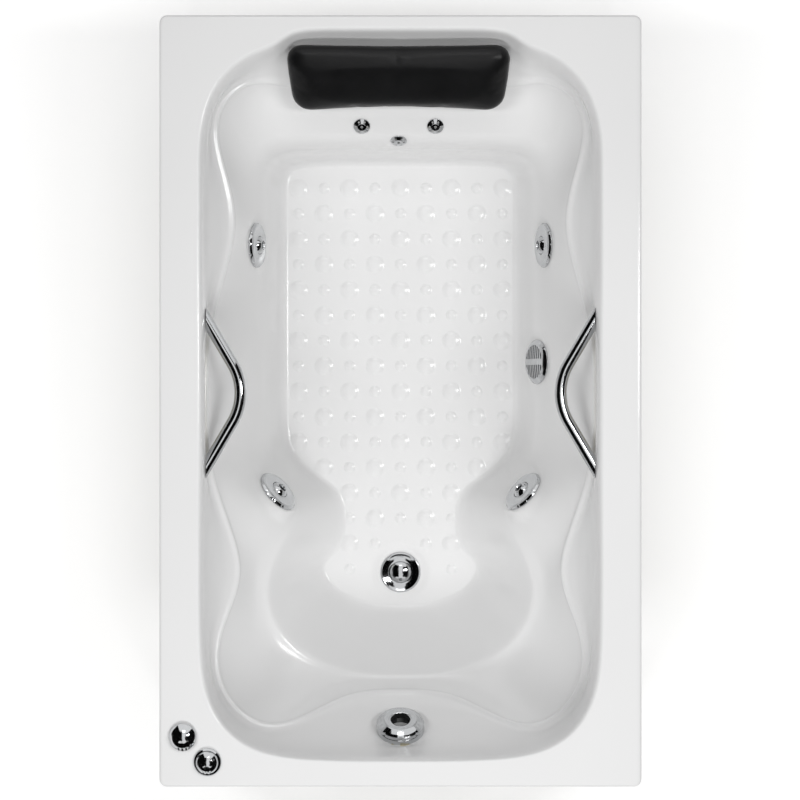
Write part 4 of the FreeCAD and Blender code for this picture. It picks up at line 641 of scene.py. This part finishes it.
# What the tree makes becomes a plain mesh in its place.
slats = linked("suction_cover_slats", bpy.data.meshes.new("suction_cover_slats"))
live = slats.modifiers.new("made", "NODES")
live.node_group = tree
for identifier, value in zip(inputs, slat_sizes.values()):
    live[identifier] = value
bpy.context.view_layer.update()
mesh = bpy.data.meshes.new_from_object(slats.evaluated_get(bpy.context.evaluated_depsgraph_get()))
slats.modifiers.remove(live)
mesh.transform(slat_place)
mesh.update()
slats.data = mesh
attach(slats, "tub")
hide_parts("suction_cover")
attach(cover_rim, "tub")


# --- Drain ---
# A chromed brass dish screwed down through the floor, and the pop-up
# plug, a low chromed mushroom that rises 10 mm when the overflow knob is turned.

dish_profile = [(22, -3), (24, 0.4), (28, 0.8), (33, 1.9), (38, 3.4), (41.5, 4.7), (43.5, 4.6), (45, 3),
                (45, 0.1), (25, 0.1), (25, -32.9), (22, -32.9)]
dish = turned_piece("drain_dish", dish_profile, [chrome], drain, 128)
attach(dish, "tub")
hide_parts("drain_flange")
plug_profile = [(0, 9.5), (4, 9.4), (8, 8.9), (12, 8.1), (16, 6.9), (20, 5.3), (22.6, 3.9), (23.6, 2.6),
                (23.4, 1.2), (20, 1.2), (4, 1.1), (4, -46), (0, -46)]
plug = turned_piece("drain_plug_cap", plug_profile, [chrome], drain)
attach(plug, "drain_plug")
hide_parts("drain_plug")


# --- Overflow ---
# A chromed ring on the foot wall, and over it the turning knob, with
# shallow scallops for the fingers and the round mouth that the water runs into.

# Painted shade: the inside of the knob's mouth, where the water runs away, is coloured near black to stand
# for the shade in the hole.
mouth_painted_shade = finish("painted_shade_in_mouth", "#0C0C0C", "#161616", (0.45, 0.55), 90.0)
escutcheon_profile = [(28.1, 0.1), (51, 0.1), (51, 10.5), (50, 12), (28.1, 12)]
escutcheon = turned_piece("overflow_ring", escutcheon_profile, [chrome], overflow, 128, ease=0.8)
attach(escutcheon, "tub")
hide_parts("overflow_escutcheon")
knob_profile = [(20, 26), (21, 28.6), (24, 30), (34, 30), (37, 29.2), (46, 23.5), (50, 20), (51, 17),
                (51, 12.5), (24, 12.5), (24, 20), (20, 20)]
knob = turned_piece("overflow_knob_face", knob_profile, [chrome, mouth_painted_shade], overflow, 256,
                    notched(8, 51, 7, 55.5), 0.8)
mouth_reach, mouth_height = 25, 27.5
mouth_axis, mouth_seat = overflow.to_3x3().col[2], overflow.translation
# Faces inside the mouth take the painted shade colour.
for face in knob.data.polygons:
    from_seat = face.center - mouth_seat
    height = from_seat.dot(mouth_axis)
    if (from_seat - mouth_axis * height).length < mouth_reach * MM and height < mouth_height * MM:
        face.material_index = 1
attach(knob, "overflow_knob")
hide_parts("overflow_knob")


# --- Deck controls, foot corner ---
# Two chromed domes on collars: the air
# regulator turns, the air button is pressed; each has three slots in its edge.

air_place = Matrix.Translation((-0.451, -0.696, rim_height * MM))
button_place = Matrix.Translation((-0.4, -0.748, rim_height * MM))
slot_half = 1.5


def slotted(floor, pitch, past, above):
    """A shape with three slots side by side in the edge that faces the foot end, cut in to a radius."""
    def shape(radius, height, turn):
        x, y = radius * math.cos(turn), radius * math.sin(turn)
        in_slot = min(abs(x - middle) for middle in (-pitch, 0, pitch)) < slot_half
        return (floor if in_slot and y < 0 and radius > past and height > above else radius), height
    return shape


dome_profile = [(0, 21.6), (6, 21.2), (12, 19.7), (17, 17.3), (21, 14.5), (24.5, 11.5), (27.3, 8.7),
                (28.7, 6.4), (29, 2.5), (6, 2.5), (6, -32), (0, -32)]
air_knob = turned_piece("air_regulator_knob", dome_profile, [plated_plastic], air_place, 240,
                        slotted(22.5, 8, 22, 3.8))
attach(air_knob, "air_control_knob")
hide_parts("air_control_knob")
collar_profile = [(29, 0.1), (29, 3.4), (28, 5), (24.2, 8), (24.2, 2), (7.1, 2), (7.1, -34), (0, -34),
                  (0, -50), (3, -50), (3, -40), (13, -40), (13, 0.1)]
collar = turned_piece("air_button_collar", collar_profile, [plated_plastic], button_place, 144)
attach(collar, "tub")
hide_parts("button_body")
cap_profile = [(0, 22.6), (6, 22.2), (12, 20.5), (17, 17.8), (20.6, 14.9), (23.2, 12), (23.7, 6.4), (7, 6.4),
               (7, -22), (0, -22)]
cap = turned_piece("air_button_cap", cap_profile, [plated_plastic], button_place, 240,
                   slotted(19, 7, 18, 9))
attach(cap, "button_cap")
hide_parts("button_cap")


# --- Grab bars ---
# Chromed steel tube, 25 mm thick, bent once in the middle and cut
# flat at both ends, where studs draw it up against the wall of the basin.

bar_wall, bar_radius, bar_height, bar_bend, bar_stand_off = 406.47, 12.5, 520, 120, 91
bar_ends, past_wall, end_gap = (172, -139), 20, 1.2


def bent_route(first, corner, last, bend, step):
    """Points along two straight runs joined by a tangent arc, in millimetres."""
    inward, outward = (corner - first).normalized(), (last - corner).normalized()
    half_turn = inward.angle(outward) / 2
    start = corner - inward * (bend * math.tan(half_turn))
    middle = corner + (outward - inward).normalized() * (bend / math.cos(half_turn))
    axis = inward.cross(outward).normalized()
    steps = int(bend * 2 * half_turn / step)
    return [first] + [middle + Matrix.Rotation(2 * half_turn * k / steps, 3, axis) @ (start - middle)
                      for k in range(steps + 1)] + [last]


def tube_faces(rings, around):
    """Faces of a closed tube: between its rings of points, and a cap over each end."""
    last = (rings - 1) * around
    return ring_quads(rings, around) + [tuple(reversed(range(around))), tuple(range(last, last + around))]


def swept_piece(name, route, radius, materials, count):
    """A closed round tube along a route, in millimetres."""
    points = []
    side = None
    for place, spot in enumerate(route):
        before, after = route[max(place - 1, 0)], route[min(place + 1, len(route) - 1)]
        run = (after - before).normalized()
        if side is None:
            side = run.orthogonal().normalized()
        side = (side - run * side.dot(run)).normalized()
        other = run.cross(side)
        for step in range(count):
            turn = 2 * math.pi * step / count
            points.append(spot + radius * (math.cos(turn) * side + math.sin(turn) * other))
    return mesh_piece(name, points, tube_faces(len(route), count), materials, 40)


for side, label in ((-1, "left"), (1, "right")):
    middle = Vector((side * (bar_wall - bar_stand_off), sum(bar_ends) / 2, bar_height))
    ends = [Vector((side * bar_wall, y, bar_height)) for y in bar_ends]
    head_tip, foot_tip = [end + (end - middle).normalized() * past_wall for end in ends]
    route = bent_route(head_tip, middle, foot_tip, bar_bend, 4)
    bar = swept_piece(f"grab_rail_{label}", route, bar_radius, [chrome], 64)
    face = side * (bar_wall - end_gap) * MM
    for point in bar.data.vertices:
        if point.co.x * side > abs(face):
            slide = (middle - ends[0 if point.co.y > middle.y * MM else 1]) * MM
            point.co += slide * ((point.co.x - face) / -slide.x)
    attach(bar, "tub")
    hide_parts(f"grab_bar_{label}")


# --- Head pillow ---
# Black polyurethane foam moulded with its own tough skin: crowned,
# drawn in at the sides, faintly hollow along its lower edge, fine leather grain.

# Integral skin has a dull broad sheen; its grain is about 1 mm across.
pillow_skin = finish("moulded_polyurethane_skin", "#0B0B0C", "#161617", (0.28, 0.4), 18.0, relief=None,
                     IOR=1.34)
tree = pillow_skin.node_tree
place = add(tree, "ShaderNodeTexCoord").outputs["Object"]
grain = add(tree, "ShaderNodeTexVoronoi", {"Vector": place, "Scale": 620.0}, feature="SMOOTH_F1")
bump = add(tree, "ShaderNodeBump", {"Height": grain, "Strength": 0.35, "Distance": 0.0006})
connect(tree.nodes["Principled BSDF"], {"Normal": bump})

# Where the pillow's foot rests on the head slope, and its sizes along and off that slope, in millimetres.
pillow_foot = Vector((-4, 640.35, 408.53))
up_slope, off_slope = Vector((0, 0.7452, 0.6668)), Vector((0, -0.6668, 0.7452))
pillow_half, pillow_foot_half, pillow_length, pillow_thickness = 234, 226, 156, 55
pillow_hollow, edge_height, spine_half = 6, 24, 155


def pillow_outline(count=240):
    """The outline on the slope: straight at the top, drawn in and hollow at the foot, with round corners."""
    corners = [(pillow_half, pillow_length, 30), (-pillow_half, pillow_length, 30),
               (-pillow_foot_half, 0, 40), (pillow_foot_half, 0, 40)]
    line = []
    for quarter, (x, up, radius) in enumerate(corners):
        centre = Vector((x - math.copysign(radius, x), up - radius if up else radius))
        start = quarter * math.pi / 2
        line += [centre + radius * Vector((math.cos(start + turn), math.sin(start + turn)))
                 for turn in np.linspace(0, math.pi / 2, 9)]
    lengths = [0.0]
    for before, after in zip(line, line[1:] + line[:1]):
        lengths.append(lengths[-1] + (after - before).length)
    spots = np.linspace(0, lengths[-1], count, endpoint=False)
    xs = np.interp(spots, lengths, [p.x for p in line + line[:1]])
    ups = np.interp(spots, lengths, [p.y for p in line + line[:1]])
    ups += pillow_hollow * np.clip(1 - (xs / 190) ** 2, 0, 1) * np.clip(1 - ups / 60, 0, 1)
    return xs, ups


outline_x, outline_up = pillow_outline()
spine_x = np.clip(outline_x, -spine_half, spine_half)
spine_up = np.full_like(outline_x, pillow_length / 2)
pillow_points, rings_out = [], np.sin(np.linspace(0.04, 1, 26) * math.pi / 2)
for front in (True, False):
    for reach in (rings_out if front else rings_out[-2::-1]):
        x, up = spine_x + (outline_x - spine_x) * reach, spine_up + (outline_up - spine_up) * reach
        if front:
            out = edge_height + (pillow_thickness - edge_height) * (1 - reach ** 4) ** 0.42
        else:
            out = edge_height * (1 - (1 - reach ** 6) ** 0.4) + 7 * (1 - reach ** 2) ** 2 + 1
        pillow_points += [pillow_foot + Vector((a, 0, 0)) + up_slope * b + off_slope * float(out)
                          for a, b in zip(x.tolist(), up.tolist())]
around = len(outline_x)
pillow_faces = tube_faces(len(pillow_points) // around, around)
pillow = mesh_piece("head_pillow", pillow_points, pillow_faces, [pillow_skin])
remesh = pillow.modifiers.new("even", "REMESH")
remesh.mode, remesh.voxel_size = "VOXEL", 0.0045
bpy.context.view_layer.objects.active = pillow
bpy.ops.object.modifier_apply(modifier=remesh.name)

# The foam fills its skin: a little pressure inside swells the mould's shape, by 5 mm at most.
most_swell, swell_frames = 0.005, 14
scene = bpy.context.scene
slack = np.array([v.co for v in pillow.data.vertices])
cloth = pillow.modifiers.new("swell", "CLOTH")
cloth.settings.use_pressure = True
cloth.settings.uniform_pressure_force = 3.5
cloth.settings.effector_weights.gravity = 0
cloth.point_cache.frame_start, cloth.point_cache.frame_end = 1, swell_frames
for number in range(1, swell_frames + 1):
    scene.frame_set(number)
evaluated = pillow.evaluated_get(bpy.context.evaluated_depsgraph_get())
swollen = np.array([v.co for v in evaluated.data.vertices])
pillow.modifiers.remove(cloth)
scene.frame_set(1)
moved = swollen - slack
length = np.linalg.norm(moved, axis=1, keepdims=True)
swollen = slack + moved * np.minimum(1, most_swell / np.maximum(length, 1e-9))
for vertex, spot in zip(pillow.data.vertices, swollen):
    vertex.co = spot
smooth = pillow.modifiers.new("ease", "SMOOTH")
smooth.factor, smooth.iterations = 0.5, 6
bpy.ops.object.modifier_apply(modifier=smooth.name)
divide = pillow.modifiers.new("fine", "SUBSURF")
divide.levels = divide.render_levels = 1
bpy.ops.object.modifier_apply(modifier=divide.name)
pillow.data.materials.clear()
pillow.data.materials.append(pillow_skin)
pillow.data.shade_smooth()
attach(pillow, "tub")
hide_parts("pillow")


# --- Small back jets, fitting bodies and all that lies behind the basin ---
# Each keeps its CAD form, with joined triangles and the finish of its real part.


def merged_copy(node, name):
    """A CAD node's mesh as a new object, its loose triangles joined."""
    work = bmesh.new()
    work.from_mesh(frame["nodes"][node].data)
    bmesh.ops.remove_doubles(work, verts=work.verts, dist=1e-5)
    mesh = bpy.data.meshes.new(name)
    work.to_mesh(mesh)
    work.free()
    mesh.materials.clear()
    return linked(name, mesh)


# Galvanised steel: dull zinc with crystal spangle about 8 mm across.
galvanised = finish("hot_dip_galvanised_steel", "#8F9496", "#B4B8BA", (0.32, 0.52), 120.0, Metallic=1.0)
# Zinc-plated screws and feet: brighter and finer.
zinc_plate = finish("zinc_plated_steel", "#A9ACAE", "#C6C8CA", (0.225, 0.375), 300.0, Metallic=1.0)
# Ground stainless shaft.
shaft_steel = finish("ground_stainless_steel", "#A5A7A8", "#BEC0C1", (0.2, 0.3), 400.0, Metallic=1.0)
# Sealed chipboard: pressed wood flakes a few millimetres long under resin.
chipboard = finish("resin_sealed_chipboard", "#8E7350", "#BFA57A", (0.5, 0.7), 160.0, relief=(0.3, 0.0005))
# Extruded pressure pipe and its solvent-welded fittings: smooth off-white PVC.
pipe_plastic = finish("extruded_white_pvc", "#CFCFCA", "#DCDCD8", (0.29, 0.39), 25.0)
# Flexible air hose: soft grey PVC.
hose = finish("flexible_grey_pvc", "#7E8082", "#949698", (0.4, 0.5), 60.0)
# Moulded black rubber, matt with a slight bloom.
rubber = finish("moulded_black_rubber", "#161616", "#242424", (0.65, 0.75), 80.0)
# Glass-filled nylon of the pump's wet end and base.
nylon = finish("glass_filled_black_nylon", "#151617", "#222324", (0.4, 0.6), 200.0, relief=(0.2, 0.0005))
# Smooth black plastic of the cable's sheath, the fan cowl and the overflow's body.
black_plastic = finish("smooth_black_pvc", "#1A1A1B", "#262627", (0.35, 0.45), 50.0)
# Stove enamel on the cast aluminium motor.
motor_paint = finish("stoved_grey_enamel", "#3A3F44", "#4A5056", (0.3, 0.4), 150.0)

finishes = {
    "white_plastic": (white_plastic, ["jet_collars", "back_jet_bodies", "suction_collar"]),
    "chromed_plastic": (plated_plastic, ["air_control_body"]),
    "pipe_plastic": (pipe_plastic, ["jet_backs", "back_jet_nuts", "suction_back", "waste_body",
                                    "overflow_pipe", "deck_control_nuts", "pressure_pipes", "suction_pipe"]),
    "galvanised_steel": (galvanised, ["base_frame", "rim_frame"]),
    "zinc_steel": (zinc_plate, ["foot_locknuts", "grab_bar_nuts"]),
    "chipboard": (chipboard, ["base_board"]),
    "black_rubber": (rubber, ["wall_gaskets", "drain_seal", "overflow_gasket", "pump_rubber_mounts"]),
    "pump_black": (nylon, ["pump_wet_end", "pump_base"]),
    "cable_black": (black_plastic, ["waste_cable", "pump_fan_cowl", "overflow_body"]),
    "motor_paint": (motor_paint, ["pump_motor"]),
    "hose_grey": (hose, ["air_tubes", "button_tube"]),
}
carried = [(node, "tub", material, slot) for slot, (material, nodes) in finishes.items() for node in nodes]
carried += [("plug_seal", "drain_plug", rubber, "black_rubber"),
            ("pump_shaft", "pump_rotor", shaft_steel, "shaft_steel"),
            ("pump_impeller", "pump_rotor", nylon, "pump_black"),
            ("pump_fan", "pump_rotor", nylon, "pump_black")]
for number in range(1, 5):
    carried.append((f"levelling_foot_{number}", f"levelling_foot_{number}", zinc_plate, "zinc_steel"))
for name in ("left", "middle", "right"):
    carried.append((f"back_jet_face_{name}", f"back_jet_face_{name}", plated_plastic, "chromed_plastic"))
for node, body, material, slot in carried:
    piece = merged_copy(node, node + "_finished")
    piece.data.materials.append(material)
    piece.data.shade_smooth()
    piece.data.set_sharp_from_angle(angle=math.radians(32))
    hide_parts(node)
    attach(piece, body)


# --- Stage ---
# A pale floor, soft lamps at the sides and the foot, black cards that
# only polished surfaces show, and the camera straight above.


def seen_directly(tree):
    """One for rays from the camera, a mirror or glass, nought for the rest."""
    ray = add(tree, "ShaderNodeLightPath")
    seen = ray.outputs["Is Camera Ray"]
    for kind in ("Is Glossy Ray", "Is Transmission Ray"):
        seen = add(tree, "ShaderNodeMath", {0: seen, 1: ray.outputs[kind]}, operation="MAXIMUM").outputs[0]
    return seen


def flat_piece(name, corners, material):
    """One flat face of the stage."""
    mesh = bpy.data.meshes.new(name)
    mesh.from_pydata(corners, [], [(0, 1, 2, 3)])
    mesh.materials.append(material)
    piece = linked(name, mesh)
    return piece


floor_finish, tree, shader = surface("pale_floor", Roughness=0.9, Base_Color=linear("#F2F2F2"))
white = add(tree, "ShaderNodeEmission", {"Color": (1, 1, 1, 1), "Strength": 0.35})
lit = add(tree, "ShaderNodeAddShader", {0: shader, 1: white})
chosen = add(tree, "ShaderNodeMixShader", {0: seen_directly(tree), 1: shader, 2: lit})
connect(tree.nodes["Material Output"], {"Surface": chosen})
floor_half = 6
flat_piece("floor", [(x * floor_half, y * floor_half, 0) for x, y in ((-1, -1), (1, -1), (1, 1), (-1, 1))],
           floor_finish)

world = bpy.data.worlds.new("studio")
bpy.context.scene.world = world
world.use_nodes = True
tree = world.node_tree
dim = tree.nodes["Background"]
connect(dim, {"Color": (1, 1, 1, 1), "Strength": 0.28})
bright = add(tree, "ShaderNodeBackground", {"Color": (1, 1, 1, 1), "Strength": 1.0})
chosen = add(tree, "ShaderNodeMixShader", {0: seen_directly(tree), 1: dim, 2: bright})
connect(tree.nodes["World Output"], {"Surface": chosen})


def soft_light(name, place, aim, size, power):
    """A broad lamp turned to a point."""
    lamp = bpy.data.lights.new(name, "AREA")
    lamp.shape = "RECTANGLE"
    lamp.size, lamp.size_y = size
    lamp.energy = power
    holder = linked(name, lamp)
    holder.location = place
    holder.rotation_euler = (Vector(aim) - Vector(place)).to_track_quat("-Z", "Y").to_euler()
    holder.visible_camera = False
    return holder


soft_light("left_softbox", (-1.9, 0.3, 3.8), (0, 0, 0.3), (0.5, 1.6), 34).visible_glossy = False
soft_light("right_softbox", (1.9, 0.3, 3.8), (0, 0, 0.3), (0.5, 1.6), 38)
soft_light("foot_softbox", (0, -3.0, 3.8), (0, 0.2, 0.3), (1.8, 0.9), 72).visible_glossy = False
soft_light("head_softbox", (0, 2.1, 3.7), (0, -0.3, 0.3), (1.4, 0.5), 7)


def dark_card(name, corners):
    """A black card outside the picture, which only polished surfaces show."""
    card = flat_piece(name, corners, card_black)
    card.visible_camera = card.visible_diffuse = card.visible_shadow = card.visible_transmission = False


card_black = surface("black_card", Roughness=1.0, Base_Color=linear("#101010"), Specular_IOR_Level=0.0)[0]
card_reach, card_foot, card_low, card_high = 2.4, -3, 0.75, 4.6
for side, label, head_end, inner in ((-1, "left", 3, 0.75), (1, "right", 1.8, 1.0)):
    x = side * card_reach
    dark_card(label + "_card", [(x, card_foot, card_low), (x, head_end, card_low), (x, head_end, card_high),
                                (x, card_foot, card_high)])
    dark_card(label + "_canopy", [(x, card_foot, card_high), (x, head_end, card_high),
                                  (side * inner, head_end, card_high), (side * inner, card_foot, card_high)])
dark_card("foot_card", [(-card_reach, card_foot, card_low), (card_reach, card_foot, card_low),
                        (card_reach, card_foot, 3.6), (-card_reach, card_foot, 3.6)])

camera_lens = bpy.data.cameras.new("overhead")
camera_lens.lens, camera_lens.sensor_width = 108.6, 36
camera = linked("overhead", camera_lens)
camera.location = (-0.001, 0.002, 5.56)
camera_lens.clip_end = 50
bpy.context.scene.camera = camera
bpy.context.scene.view_settings.view_transform = "Standard"
